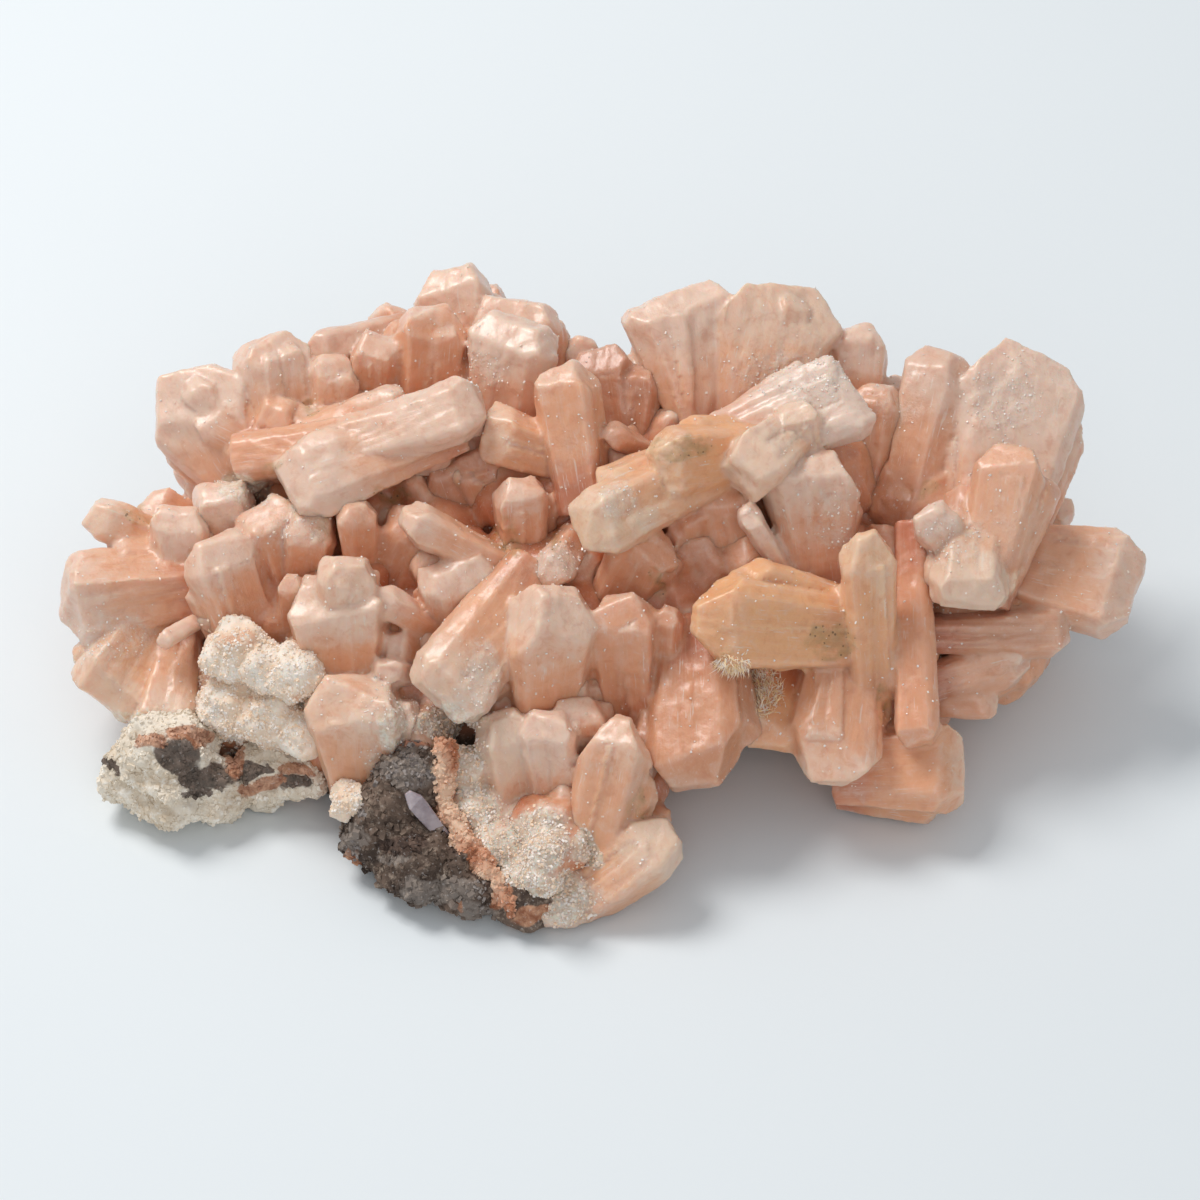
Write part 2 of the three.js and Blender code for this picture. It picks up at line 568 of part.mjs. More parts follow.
// The stone under the crystals: a flat foot, an uneven wall and a top that follows the cover.
function stoneCore(grow) {
  const count = STONE_REACH.length;
  const ringAt = (share, heightOf) => STONE_REACH.map((reach, index) => {
    const turn = (index / count) * Math.PI * 2;
    const wave = unevenness(new THREE.Vector3(index * 3, share * 20, 0), 1.3, 2);
    const distance = reach * share + wave * STONE_ROUGHNESS * share + grow;
    const x = STONE_MIDDLE.x + Math.cos(turn) * distance;
    const y = STONE_MIDDLE.y + Math.sin(turn) * distance;
    return new THREE.Vector3(x, y, heightOf(x, y));
  });
  const top = (x, y, drop) => {
    const bump = unevenness(new THREE.Vector3(x, y, 0), 4.2, 5) * STONE_ROUGHNESS;
    return Math.max(5, coverAbove(x, y) - STONE_DEPTH_BELOW_TIPS - drop + bump) + grow;
  };
  const footShare = 1 - STONE_FOOT_INSET / 55;
  const rings = [
    ringAt(footShare, () => 0),
    ringAt(1, () => 3),
    ringAt(1, (x, y) => Math.max(4.2, top(x, y, STONE_EDGE_DROP) * 0.7)),
  ];
  [...STONE_RINGS].reverse().slice(1).forEach((share) => {
    rings.push(ringAt(share, (x, y) => top(x, y, STONE_EDGE_DROP * share * share * share)));
  });
  return stackedRings(rings);
}

function joined(solids) {
  return wasm.Manifold.union(solids);
}

function basalt(grow) {
  const knobs = STONE_KNOBS.map((entry, index) => knob(entry, index + 3, grow));
  const pits = STONE_PITS.map(({ at, height, radius }, index) => {
    const inner = radius.map((size) => size - grow);
    return lump(seen(at, height), inner, index + 11, 0);
  });
  return joined([stoneCore(grow), ...knobs]).subtract(joined(pits)).intersect(above(0));
}

function paleRock(grow) {
  return joined(PALE_ROCK_KNOBS.map((entry, index) => knob(entry, index + 21, grow))).intersect(above(0));
}

function druse(lumps, seed, grow) {
  return joined(lumps.map((entry, index) => coverLump(entry, seed + index, grow)));
}

// The rind stands between the stone and the crystals, so it is a wavy upright band.
function rind(grow) {
  const half = RIND_THICKNESS / 2;
  const rings = RIND_ROUTE.map((place, index) => {
    const nearest = RIND_ROUTE[Math.max(0, index - 1)];
    const furthest = RIND_ROUTE[Math.min(RIND_ROUTE.length - 1, index + 1)];
    const height = coverHeight(place) + RIND_TOP;
    const middle = seen(place, height);
    const along = seen(furthest, coverHeight(furthest)).sub(seen(nearest, coverHeight(nearest))).normalize();
    const across = new THREE.Vector3(-along.y, along.x, 0).normalize();
    const swell = half * (1 + 0.25 * Math.sin(index * 2.3)) + grow;
    const endShift = index === 0 ? -grow : index === RIND_ROUTE.length - 1 ? grow : 0;
    const corners = [[0, 1], [-0.9, 0.4], [-1, -RIND_DEPTH / 2], [1, -RIND_DEPTH / 2], [0.9, 0.4]];
    return corners.map(([side, lift]) => middle.clone().addScaledVector(across, side * swell)
      .addScaledVector(along, endShift).add(new THREE.Vector3(0, 0, lift > 0 ? lift * swell : lift - grow)));
  });
  return stackedRings(rings);
}

function sheafSolid(sheaf, grow) {
  const blades = sheaf.crystals.map((crystal) => picturedBlade(crystal, grow));
  const masses = sheaf.masses.map(({ at, sink, radius }, index) => (
    rootPad(seen(at, coverHeight(at) - sink), radius, index + sheaf.node.length, grow)
  ));
  return joined([...blades, ...masses]).intersect(above(LOWEST_CRYSTAL - grow));
}

function hiddenSheafSolid(sheaf, grow) {
  const blades = sheaf.crystals.map((crystal) => placedBlade(crystal, grow));
  const masses = sheaf.centres.map(({ at, radius }, index) => (
    rootPad(new THREE.Vector3(...at), radius, index + 51, grow)
  ));
  return joined([...blades, ...masses]).intersect(above(LOWEST_CRYSTAL - grow));
}

function largestBody(solid) {
  const bodies = solid.decompose();
  return bodies.reduce((best, body) => (body.volume() > best.volume() ? body : best), bodies[0]);
}

function meshOf(solid, name, colour, roughness) {
  const { vertProperties, triVerts } = solid.getMesh();
  const geometry = new THREE.BufferGeometry();
  geometry.setAttribute('position', new THREE.BufferAttribute(new Float32Array(vertProperties), 3));
  geometry.setIndex(new THREE.BufferAttribute(new Uint32Array(triVerts), 1));
  const flat = geometry.toNonIndexed();
  flat.computeVertexNormals();
  const material = new THREE.MeshStandardMaterial({ color: colour, roughness, metalness: 0 });
  const mesh = new THREE.Mesh(flat, material);
  mesh.name = name;
  return mesh;
}

// Every sub-part in the order in which it keeps its full form; the later ones make room for it.
const SUBPARTS = [
  { node: 'basalt_matrix', colour: COLOURS.basalt, roughness: 0.9, form: basalt },
  { node: 'vug_prism', colour: COLOURS.lavender, roughness: 0.35, form: (grow) => picturedBlade(VUG_PRISM, grow) },
  { node: 'pale_rock', colour: COLOURS.paleRock, roughness: 0.95, form: paleRock },
  { node: 'pink_rind', colour: COLOURS.rind, roughness: 0.8, form: rind },
  { node: 'druse_ball', colour: COLOURS.white, roughness: 0.7, form: (grow) => druse(DRUSE_BALL, 35, grow) },
  { node: 'white_druse', colour: COLOURS.white, roughness: 0.7, form: (grow) => druse(DRUSE_LUMPS, 31, grow) },
  ...SHEAVES.map((sheaf) => ({
    node: sheaf.node, colour: sheaf.colour, roughness: 0.45, form: (grow) => sheafSolid(sheaf, grow),
  })),
  ...BACK_SHEAVES.map((sheaf) => ({
    node: sheaf.node, colour: sheaf.colour, roughness: 0.45, form: (grow) => hiddenSheafSolid(sheaf, grow),
  })),
];

function cluster() {
  const group = new THREE.Group();
  group.name = 'stilbite_cluster';
  const taken = [];
  SUBPARTS.forEach(({ node, colour, roughness, form }) => {
    let solid = form(0);
    if (taken.length > 0) {
      solid = solid.subtract(joined(taken));
    }
    const body = largestBody(solid.simplify(FLAT_TOLERANCE));
    group.add(meshOf(body, node, colour, roughness));
    taken.push(form(TOUCH_GAP));
  });
  return group;
}

export default cluster();
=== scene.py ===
import itertools
import math
import random

import bmesh
import bpy
import numpy as np
from mathutils import Matrix, Vector


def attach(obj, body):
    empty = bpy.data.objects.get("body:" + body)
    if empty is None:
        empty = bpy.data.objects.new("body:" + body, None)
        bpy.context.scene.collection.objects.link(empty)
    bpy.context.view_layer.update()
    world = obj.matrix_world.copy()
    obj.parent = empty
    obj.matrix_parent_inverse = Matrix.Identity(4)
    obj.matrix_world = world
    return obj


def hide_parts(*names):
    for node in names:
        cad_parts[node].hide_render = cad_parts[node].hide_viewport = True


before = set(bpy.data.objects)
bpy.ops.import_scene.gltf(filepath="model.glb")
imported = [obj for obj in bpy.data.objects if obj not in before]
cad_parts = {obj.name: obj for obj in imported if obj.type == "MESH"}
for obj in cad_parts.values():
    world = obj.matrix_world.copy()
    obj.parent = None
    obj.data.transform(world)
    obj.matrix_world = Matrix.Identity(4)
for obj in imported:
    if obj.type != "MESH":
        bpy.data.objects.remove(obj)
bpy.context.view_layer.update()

# Stilbite cluster: the looks of the crystals, the stone and the floor.
# Lengths are in millimetres up to the moment a mesh is made, which is in metres.
MM = 0.001

# The picture's viewpoint, with the same values as the solids.
PICTURE_SIZE = 1200
PICTURE_CENTRE = 600
SENSOR_WIDTH = 36
OVERALL_WIDTH = 180
SPECIMEN_PIXELS = 1078
EYE_DISTANCE = 800
EYE_ELEVATION = math.radians(45)
TARGET_HEIGHT = 28
FOCAL_PIXELS = EYE_DISTANCE * SPECIMEN_PIXELS / OVERALL_WIDTH
FORWARD = np.array([0, math.cos(EYE_ELEVATION), -math.sin(EYE_ELEVATION)])
UPWARD = np.array([0, math.sin(EYE_ELEVATION), math.cos(EYE_ELEVATION)])
EYE = np.array([0, 0, TARGET_HEIGHT]) - EYE_DISTANCE * FORWARD

# Height of the crystal cover on the middle line, by the picture row where it shows.
COVER_ROWS = [260, 380, 464, 549, 634, 719, 804, 931]
COVER_HEIGHTS = [57, 52, 47, 41, 32, 22, 12, 2]
SIDE_DROP = 12
TIP_RISE = 3
ROOT_SINK = 8
BURIED_LENGTH = 2
LOWEST_CRYSTAL = 1.2

# Crystals from these widths on carry raised strips, and have narrower crystals beside them.
STRIP_WIDTH = 8
COMPANION_WIDTH = 9

# How much broader and thicker a crystal is here than in the table below.
BROADENING = 1.12
THICKENING = 1.15

# A bent crystal is cut into this many lengths.
BEND_STEPS = 10

# Flat steps on the faces, by their number from the lowest to the highest and their height.
TERRACES = 2.6
TERRACE_HEIGHT = 0.45

# Grain of the even skin over joined crystals, and over the small ones in the gaps.
CRYSTAL_VOXEL = 0.5
LINING_VOXEL = 0.73


def crystal(tip, root, wide, thick, rise=TIP_RISE, sink=ROOT_SINK, end=0.45, taper=0.72, roll=0, **looks):
    """One crystal: where its tip and root show in the picture, its real size, and its looks.
    pale is how far the whitish tip reaches, amber how orange it is, and tone how light it is."""
    form = dict(tip=tip, root=root, wide=wide, thick=thick, rise=rise, sink=sink)
    return dict(form, end=end, taper=taper, roll=roll, **looks)


SHEAVES = {
    "diagonal_sheaf": [
        crystal((859, 390), (733, 441), 14, 5, 6, 0, 0.8, roll=12, pale=1, tone=0.9),
        crystal((741, 474), (811, 420), 9, 8.4, 6, 1, 0.65, pale=0.75, amber=0.35, tone=0.4),
        crystal((792, 404), (812, 470), 7.5, 6, 7, 2, 0.6, pale=0.8, amber=0.3, tone=0.4),
        crystal((806, 455), (818, 592), 14.5, 8, 4, 6, 0.6, taper=0.5, pale=0.6, tone=0.2),
        crystal((581, 533), (752, 446), 10.5, 8, 5, 1, 0.55, roll=16, pale=0.45, amber=0.7, tone=0.4),
        crystal((652, 468), (772, 448), 11, 7, 6, 1, 0.5, roll=14, pale=0.3, amber=0.8, tone=0.1),
        crystal((656, 532), (603, 628), 11.5, 7, 1, 8, roll=-10, pale=0.15, tone=0),
        crystal((545, 582), (580, 530), 6, 5, 1, 5, pale=0.7, tone=-0.1),
        crystal((716, 484), (748, 602), 9.5, 6, 0, 9, roll=-12, pale=0.1, tone=0.1),
        crystal((688, 500), (697, 604), 8, 6, -1, 9, pale=0.1, tone=-0.1),
        crystal((744, 508), (797, 590), 3.6, 5, 3, 4, pale=1, tone=0.4),
    ],
    "left_rear_sheaf": [
        crystal((481, 404), (250, 456), 9.4, 9, 5, 0, 0.55, roll=10, pale=0.85, tone=0.05, bend=1.6),
        crystal((286, 488), (448, 428), 12.5, 8, 3, 0, 0.65, roll=-12, pale=0.7, tone=0.15),
        crystal((178, 372), (246, 484), 18, 7.5, 3, 7, 0.42, taper=0.6, roll=16, pale=0.8, tone=0.1),
        crystal((270, 336), (282, 446), 11.5, 8, 4, 6, 0.55, roll=-26, pale=0.6, tone=0.1),
        crystal((334, 357), (324, 440), 8.5, 7, 1, 8, 0.55, pale=0.4),
        crystal((187, 494), (228, 474), 4.5, 3, -8, 11, pale=1, tone=0.6),
    ],
    "front_sheaf": [
        crystal((438, 704), (528, 576), 13.5, 8, 5, 2, 0.62, roll=14, pale=0.6, amber=0.25, tone=0.1),
        crystal((556, 590), (546, 722), 14.2, 9, 5, 4, 0.45, roll=-18, pale=0.65, amber=0.1, tone=0.15),
        crystal((694, 787), (697, 630), 15, 8, 3, 3, 0.45, roll=-14, pale=0.2, amber=0.1, tone=-0.25),
        crystal((620, 596), (630, 716), 10, 7, 3, 5, 0.5, roll=12, pale=0.25, tone=-0.05),
        crystal((669, 607), (668, 690), 5, 5, 2, 5, pale=0.15, tone=-0.1),
        crystal((652, 760), (668, 670), 7, 5, 0, 6, pale=0.1, tone=-0.25),
    ],
    "front_tip_sheaf": [
        crystal((624, 716), (588, 884), 10, 7, 6, 3, 0.28, roll=20, pale=0.4, amber=0.2, tone=0.15),
        crystal((674, 830), (576, 908), 9.2, 7, 4, 3, 0.45, roll=12, pale=0.6, amber=0.4, tone=0.35),
        crystal((503, 714), (517, 815), 8.2, 6, 3, 5, 0.5, roll=-14, pale=0.9, amber=0.3, tone=0.45),
        crystal((546, 712), (560, 818), 8.8, 6, 4, 4, 0.55, roll=14, pale=0.8, tone=0.35),
        crystal((574, 704), (588, 780), 9, 6, 2, 7, 0.6, pale=0.4, tone=0),
        crystal((649, 748), (640, 815), 3.8, 4, 1, 6, pale=0.5),
        crystal((495, 733), (474, 720), 2.6, 2, 3, 2, 0.3, pale=1, tone=0.6),
    ],
    "hanging_sheaf": [
        crystal((694, 616), (872, 632), 14, 6.5, 6, 1, 0.3, roll=8, pale=0.1, amber=1, tone=0.2),
        crystal((868, 532), (874, 705), 8.6, 5, 8, 2, 0.35, roll=-14, pale=0.45, amber=0.7, tone=0.25),
        crystal((827, 784), (846, 640), 14, 7, 3, 4, 0.4, roll=10, pale=0.35, amber=0.1, tone=0.15),
        crystal((919, 744), (912, 536), 6.8, 6, 4, 2, 0.6, roll=-12, pale=0.05, tone=0.05),
        crystal((965, 768), (846, 772), 14, 9, 1, 4, 0.6, roll=10, pale=0.3, amber=0.2, tone=0.05),
        crystal((764, 748), (792, 682), 9.5, 5, 0, 5, 0.6, pale=0.1, amber=0.5),
    ],
    "right_sheaf": [
        crystal((1028, 348), (984, 592), 19.5, 8, 4, 5, 0.46, taper=0.5, roll=-12, pale=0.85, tone=0.15),
        crystal((1016, 446), (984, 592), 11, 6, 8, -1, 0.5, roll=12, pale=0.1, tone=0.05),
        crystal((968, 606), (972, 508), 12.5, 7, 5, 0, 0.7, roll=8, pale=0.7, amber=0.35, tone=0.3),
        crystal((926, 512), (966, 566), 7, 4, 5, 2, 0.6, pale=0.6, tone=0.2),
        crystal((942, 352), (906, 512), 11, 7, 2, 7, 0.5, roll=24, pale=0.6, tone=-0.25),
    ],
    "right_low_sheaf": [
        crystal((1138, 588), (1002, 560), 17, 8, 3, 4, 0.55, roll=14, pale=0.5, tone=0),
        crystal((1068, 632), (936, 634), 7.5, 6, 0, 3, pale=0.3, tone=-0.3),
        crystal((1028, 656), (930, 684), 8, 6, -2, 5, pale=0.4, tone=-0.1),
        crystal((1000, 704), (925, 706), 5, 5, -3, 6, pale=0.4),
        crystal((1074, 504), (1036, 520), 5.5, 4, -6, 9, pale=1, tone=0.2),
    ],
    "rear_right_sheaf": [
        crystal((674, 291), (694, 432), 17.5, 8, 3, 7, 0.7, taper=0.35, pale=0.75, tone=0.05),
        crystal(
            (786, 286), (752, 430), 20, 8, 3, 7, 0.55, taper=0.5, roll=-12, pale=0.7, amber=0.2, tone=0.1,
        ),
        crystal((860, 325), (858, 420), 8.5, 5, 0, 9, 0.5, pale=0.8),
        crystal((880, 385), (870, 480), 8, 6, -1, 9, 0.5, pale=0.2, tone=-0.2),
    ],
    "centre_rear_sheaf": [
        crystal((563, 365), (584, 500), 9.6, 8, 6, 3, 0.45, roll=18, pale=0.3, amber=0.15, tone=0.05),
        crystal((482, 428), (572, 458), 9, 8, 2, 4, 0.6, pale=0.35, amber=0.25, tone=0.1),
        crystal((600, 348), (612, 440), 10, 7, -1, 9, 0.6, pale=0.3, tone=-0.5),
        crystal((640, 366), (632, 452), 8, 6, -2, 9, 0.6, pale=0.1, tone=-0.5),
        crystal((520, 478), (526, 580), 8.6, 6, 2, 8, 0.5, pale=0.4),
        crystal((470, 452), (500, 524), 8, 5, -1, 9, pale=0, tone=-0.4),
        crystal((440, 456), (466, 524), 7.5, 5, -2, 9, pale=0, tone=-0.5),
        crystal((586, 339), (572, 400), 6.5, 4, -4, 12, pale=1, tone=-0.2),
        crystal((606, 432), (672, 464), 3.6, 4, 3, 8, pale=0.2, tone=-0.3),
    ],
    "crest_sheaf": [
        crystal((516, 318), (503, 420), 14.5, 8, 4, 7, 0.6, roll=28, pale=0.8, amber=0.1, tone=0.45),
        crystal((512, 299), (520, 400), 15, 6, 0, 10, 0.62, pale=0.6, tone=0),
        crystal((452, 267), (458, 360), 12.5, 7, -1, 10, 0.5, roll=12, pale=0.95, tone=0),
        crystal((432, 306), (420, 410), 11, 8, 2, 8, 0.55, roll=-16, pale=0.3),
        crystal((378, 334), (374, 410), 8, 7, 2, 8, 0.55, roll=10, pale=0.45),
        crystal((310, 355), (412, 327), 6.5, 4, -1, 6, 0.5, pale=1, tone=-0.1),
    ],
    "centre_left_sheaf": [
        crystal((352, 682), (366, 792), 15, 10, 4, 5, 0.6, roll=10, pale=0.5, amber=0.2, tone=0.15),
        crystal((400, 706), (398, 770), 6, 6, 2, 6, 0.6, pale=0.8, tone=0.2),
        crystal((336, 583), (346, 690), 15.5, 10, 3, 5, 0.65, roll=8, pale=0.65, amber=0.1, tone=0.1),
        crystal((350, 562), (338, 640), 8.8, 6, 6, 2, 0.55, pale=0.6, amber=0.2, tone=0.1),
        crystal((357, 502), (362, 582), 6.6, 5, 3, 6, 0.5, pale=0.3),
        crystal((428, 518), (392, 592), 11, 6, -1, 9, 0.6, pale=0.2, tone=-0.2),
        crystal((401, 516), (508, 568), 6.6, 6, 4, 3, 0.35, pale=0.5, amber=0.15, tone=0.15),
        crystal((458, 562), (466, 632), 12.5, 7, 1, 8, 0.6, pale=0.5),
        crystal((376, 594), (446, 636), 4.8, 4, 3, 5, pale=0.7),
        crystal((383, 642), (428, 652), 5, 5, 0, 6, pale=0.5, tone=-0.2),
        crystal((381, 670), (428, 676), 4.2, 5, pale=0.9, tone=0.2),
    ],
    "left_middle_sheaf": [
        crystal((214, 537), (250, 648), 11.5, 7, 4, 5, 0.6, roll=-20, pale=0.55, tone=0.15),
        crystal((291, 574), (296, 644), 4.6, 4, 1, 6, pale=0.3),
        crystal((262, 506), (288, 580), 10, 8, 1, 7, 0.6, pale=0.3, tone=-0.05),
        crystal((314, 514), (300, 586), 8, 7, 1, 7, 0.6, pale=0.4),
        crystal((218, 484), (240, 560), 9.5, 7, 0, 8, 0.7, pale=0.8, tone=0.2),
    ],
    "left_sheaf": [
        crystal((62, 600), (190, 582), 13.5, 10, 2, 4, 0.6, roll=26, pale=0.55, tone=0.05),
        crystal((88, 514), (186, 552), 6.4, 5.6, 2, 7, 0.6, pale=0.5, amber=0.2, tone=-0.1),
        crystal((176, 508), (192, 622), 9.4, 6, 2, 7, 0.6, roll=14, pale=0.6),
        crystal((100, 704), (168, 606), 13.5, 8, 1, 6, 0.7, roll=10, pale=0.5, amber=0.3, tone=0.15),
        crystal((160, 740), (180, 640), 10, 7, 1, 6, 0.75, pale=0.6, amber=0.2, tone=0.1),
        crystal((159, 643), (208, 617), 2.6, 3, 3, 3, pale=1, tone=0.3),
    ],
}


def placed(tip, root, wide, thick, roll, pale=0.45, tone=0):
    """One crystal of the hidden back, by its real coordinates."""
    form = dict(tip=tip, root=root, wide=wide, thick=thick, end=0.45, taper=0.72, roll=roll)
    return dict(form, pale=pale, tone=tone)


BACK_SHEAVES = {
    "hidden_rear_left_sheaf": [
        placed((-72, 45, 22), (-52, 26, 18), 12, 7, 10, 0.6),
        placed((-58, 52, 14), (-44, 30, 16), 11, 7, -8, 0.4, -0.1),
        placed((-46, 55, 26), (-38, 32, 20), 13, 8, 4, 0.5, 0.1),
        placed((-30, 59, 15), (-28, 34, 17), 12, 7, -12, 0.3, -0.1),
        placed((-22, 60, 33), (-22, 34, 22), 13, 8, 12, 0.7, 0.1),
        placed((-82, 30, 12), (-60, 18, 15), 10, 7, -6, 0.4),
        placed((-6, 61, 22), (-10, 36, 20), 12, 7, 6, 0.5),
        placed((-35, 53, 37), (-33, 33, 20), 12, 7, -6, 0.3, 0.1),
        placed((-57, 45, 32), (-46, 28, 18), 11, 7, 8, 0.6, 0.1),
    ],
    "hidden_rear_right_sheaf": [
        placed((12, 62, 14), (8, 38, 17), 12, 7, -10, 0.4),
        placed((22, 61, 30), (18, 36, 21), 14, 8, 8, 0.6, 0.1),
        placed((38, 58, 16), (30, 36, 17), 11, 7, -4, 0.3, -0.2),
        placed((12, 57, 38), (10, 34, 20), 12, 7, 8, 0.5, 0.1),
        placed((36, 54, 37), (29, 33, 20), 12, 7, -8, 0.4),
    ],
    "hidden_right_end_sheaf": [
        placed((50, 53, 26), (38, 33, 20), 13, 8, 12, 0.6, 0.1),
        placed((66, 46, 14), (46, 30, 16), 11, 7, -8, 0.4),
        placed((78, 34, 22), (54, 24, 18), 13, 8, 6, 0.7, 0.1),
        placed((84, 16, 13), (58, 12, 16), 11, 7, 0, 0.4),
        placed((70, 3, 11), (54, 4, 15), 9, 7, -10, 0.3),
    ],
}

# Root masses that the crystals of a sheaf grow from: picture place, sink below the cover and radius.
ROOT_MASSES = {
    "diagonal_sheaf": [((815, 470), 10, 11), ((700, 520), 12, 13), ((640, 570), 14, 11)],
    "left_rear_sheaf": [((360, 450), 8, 11), ((270, 440), 12, 12), ((266, 448), 3, 6.5)],
    "front_sheaf": [((510, 660), 12, 11), ((665, 690), 12, 11)],
    "front_tip_sheaf": [
        ((540, 838), 4, 8.5), ((463, 768), 1, 4.2), ((477, 806), 1, 4.8), ((498, 846), 0.5, 5.2),
        ((526, 882), 0, 5.4), ((560, 890), 2, 6.8), ((600, 812), 9, 9),
    ],
    "hanging_sheaf": [
        ((878, 634), 7, 10), ((868, 712), 11, 12), ((884, 752), 6, 9), ((752, 684), 7, 6.5),
    ],
    "right_sheaf": [((968, 566), 9, 12), ((925, 490), 9, 10)],
    "right_low_sheaf": [((1000, 612), 8, 10), ((985, 640), 11, 11)],
    "rear_right_sheaf": [((745, 415), 12, 13), ((835, 430), 13, 11)],
    "centre_rear_sheaf": [((560, 450), 13, 14), ((505, 500), 14, 11)],
    "crest_sheaf": [((470, 385), 13, 14), ((400, 390), 13, 10)],
    "centre_left_sheaf": [((362, 714), 8, 10), ((400, 610), 12, 12), ((360, 560), 14, 10)],
    "left_middle_sheaf": [((300, 606), 9, 10), ((262, 590), 9, 11)],
    "left_sheaf": [((165, 610), 11, 11)],
}
BACK_MASSES = {
    "hidden_rear_left_sheaf": [
        ((-65, 27, 13), 10), ((-49, 36, 16), 11), ((-32, 41, 18), 11), ((-14, 42, 19), 11),
    ],
    "hidden_rear_right_sheaf": [((11, 43, 17), 11), ((29, 41, 18), 11)],
    "hidden_right_end_sheaf": [((45, 33, 16), 11), ((58, 20, 15), 11), ((62, 5, 13), 9)],
}

# A root mass is broader than its radius and less high, with this many corners and levels.
PAD_SPREAD = 1.1
PAD_FLATNESS = 0.8
MASS_SIDES = 26
MASS_RINGS = 14

# Masses further back than this carry short crystals, as the back shows no long ones.
SPROUTS_FROM = 14
SPROUTS_ROUND_MASS = 34

# Masses that show as a whitish crust and not as crystal roots.
CRUSTED_SHEAF = "front_tip_sheaf"

PALE_SLOT_SHEAVES = {
    "left_rear_sheaf", "right_sheaf", "right_low_sheaf", "rear_right_sheaf", "left_sheaf",
}


def seen(place, height):
    """The point on the sight line through a place in the picture, at the given height."""
    column, row = place
    ray = FORWARD * FOCAL_PIXELS + np.array([column - PICTURE_CENTRE, 0, 0])
    ray = ray + UPWARD * (PICTURE_CENTRE - row)
    return EYE + ray * ((height - EYE[2]) / ray[2])


def pictured(points):
    """The column and row in the picture of each point."""
    away = points - EYE
    scale = FOCAL_PIXELS / (away @ FORWARD)
    return PICTURE_CENTRE + away[:, 0] * scale, PICTURE_CENTRE - (away @ UPWARD) * scale


def cover_height(column, row):
    """Height of the crystal cover where it shows at a place in the picture."""
    across = (column - PICTURE_CENTRE) / (SPECIMEN_PIXELS / 2)
    return np.interp(row, COVER_ROWS, COVER_HEIGHTS) - SIDE_DROP * across * across


# Rounds after which the height above a point of the ground no longer changes.
HEIGHT_ROUNDS = 12


def cover_above(x, y):
    """Height of the crystal cover above a point of the ground."""
    height = TARGET_HEIGHT
    for _ in range(HEIGHT_ROUNDS):
        column, row = pictured(np.array([[x, y, height]]))
        height = (height + cover_height(column[0], row[0])) / 2
    return height


def smooth_step(low, high, value):
    """Rises smoothly from 0 at low to 1 at high."""
    share = np.clip((value - low) / (high - low), 0, 1)
    return share * share * (3 - 2 * share)


def noise_at(points, seed):
    """Smooth noise between -1 and 1 at each of the points."""
    cell = np.floor(points).astype(np.int64)
    part = points - cell
    part = part * part * (3 - 2 * part)
    total = np.zeros(len(points))
    for corner in itertools.product((0, 1), repeat=3):
        x, y, z = (cell + np.array(corner)).T
        mixed = (x * 73856093) ^ (y * 19349663) ^ (z * 83492791) ^ (seed * 2654435761)
        mixed = (mixed ^ (mixed >> 13)) * 1274126177
        value = ((mixed ^ (mixed >> 16)) & 0xFFFF) / 32767.5 - 1
        weight = np.prod(np.where(np.array(corner) == 1, part, 1 - part), axis=1)
        total += weight * value
    return total


# How far, in the picture, the edge of a stain sways.
STAIN_SWAY = 9


def stain_share(points, stains):
    """1 in the middle of a stain, 0 outside all of them."""
    column, row = pictured(points)
    column = column + STAIN_SWAY * noise_at(points / 3.4, 71)
    row = row + STAIN_SWAY * noise_at(points / 3.1, 72)
    share = np.zeros(len(points))
    for (middle_column, middle_row), (reach_across, reach_down) in stains:
        distance = np.hypot((column - middle_column) / reach_across, (row - middle_row) / reach_down)
        share = np.maximum(share, 1 - smooth_step(0.65, 1.3, distance))
    return share


def standing(tip, root, roll):
    """A crystal's axis, the direction of its broad face and that of its right-hand edge."""
    axis = (tip - root) / np.linalg.norm(tip - root)
    to_eye = (EYE - root) / np.linalg.norm(EYE - root)
    face = to_eye - axis * (to_eye @ axis)
    face = face / np.linalg.norm(face)
    turned = Matrix.Rotation(math.radians(-roll), 3, Vector(axis)) @ Vector(face)
    face = np.array(turned)
    return axis, face, np.cross(axis, face)


def closed_mesh(name, rings, poles):
    """A closed mesh from a stack of rings and the two points that end it."""
    count = len(rings[0])
    points = np.vstack([*rings, poles])
    faces = []
    for level in range(len(rings) - 1):
        here = level * count
        above = here + count
        for index in range(count):
            following = (index + 1) % count
            faces.append((here + index, here + following, above + following, above + index))
    bottom = len(points) - 2
    top = bottom + 1
    last = (len(rings) - 1) * count
    for index in range(count):
        following = (index + 1) % count
        faces.append((bottom, following, index))
        faces.append((top, last + index, last + following))
    mesh = bpy.data.meshes.new(name)
    mesh.from_pydata(points * MM, [], faces)
    return mesh


def keep_values(mesh, name, values):
    """Stores one number for each vertex."""
    layer = mesh.attributes.new(name, "FLOAT", "POINT")
    layer.data.foreach_set("value", np.asarray(values, dtype=np.float32))


def keep_places(mesh, name, values):
    """Stores one place for each vertex."""
    layer = mesh.attributes.new(name, "FLOAT_VECTOR", "POINT")
    layer.data.foreach_set("vector", np.asarray(values, dtype=np.float32).ravel())


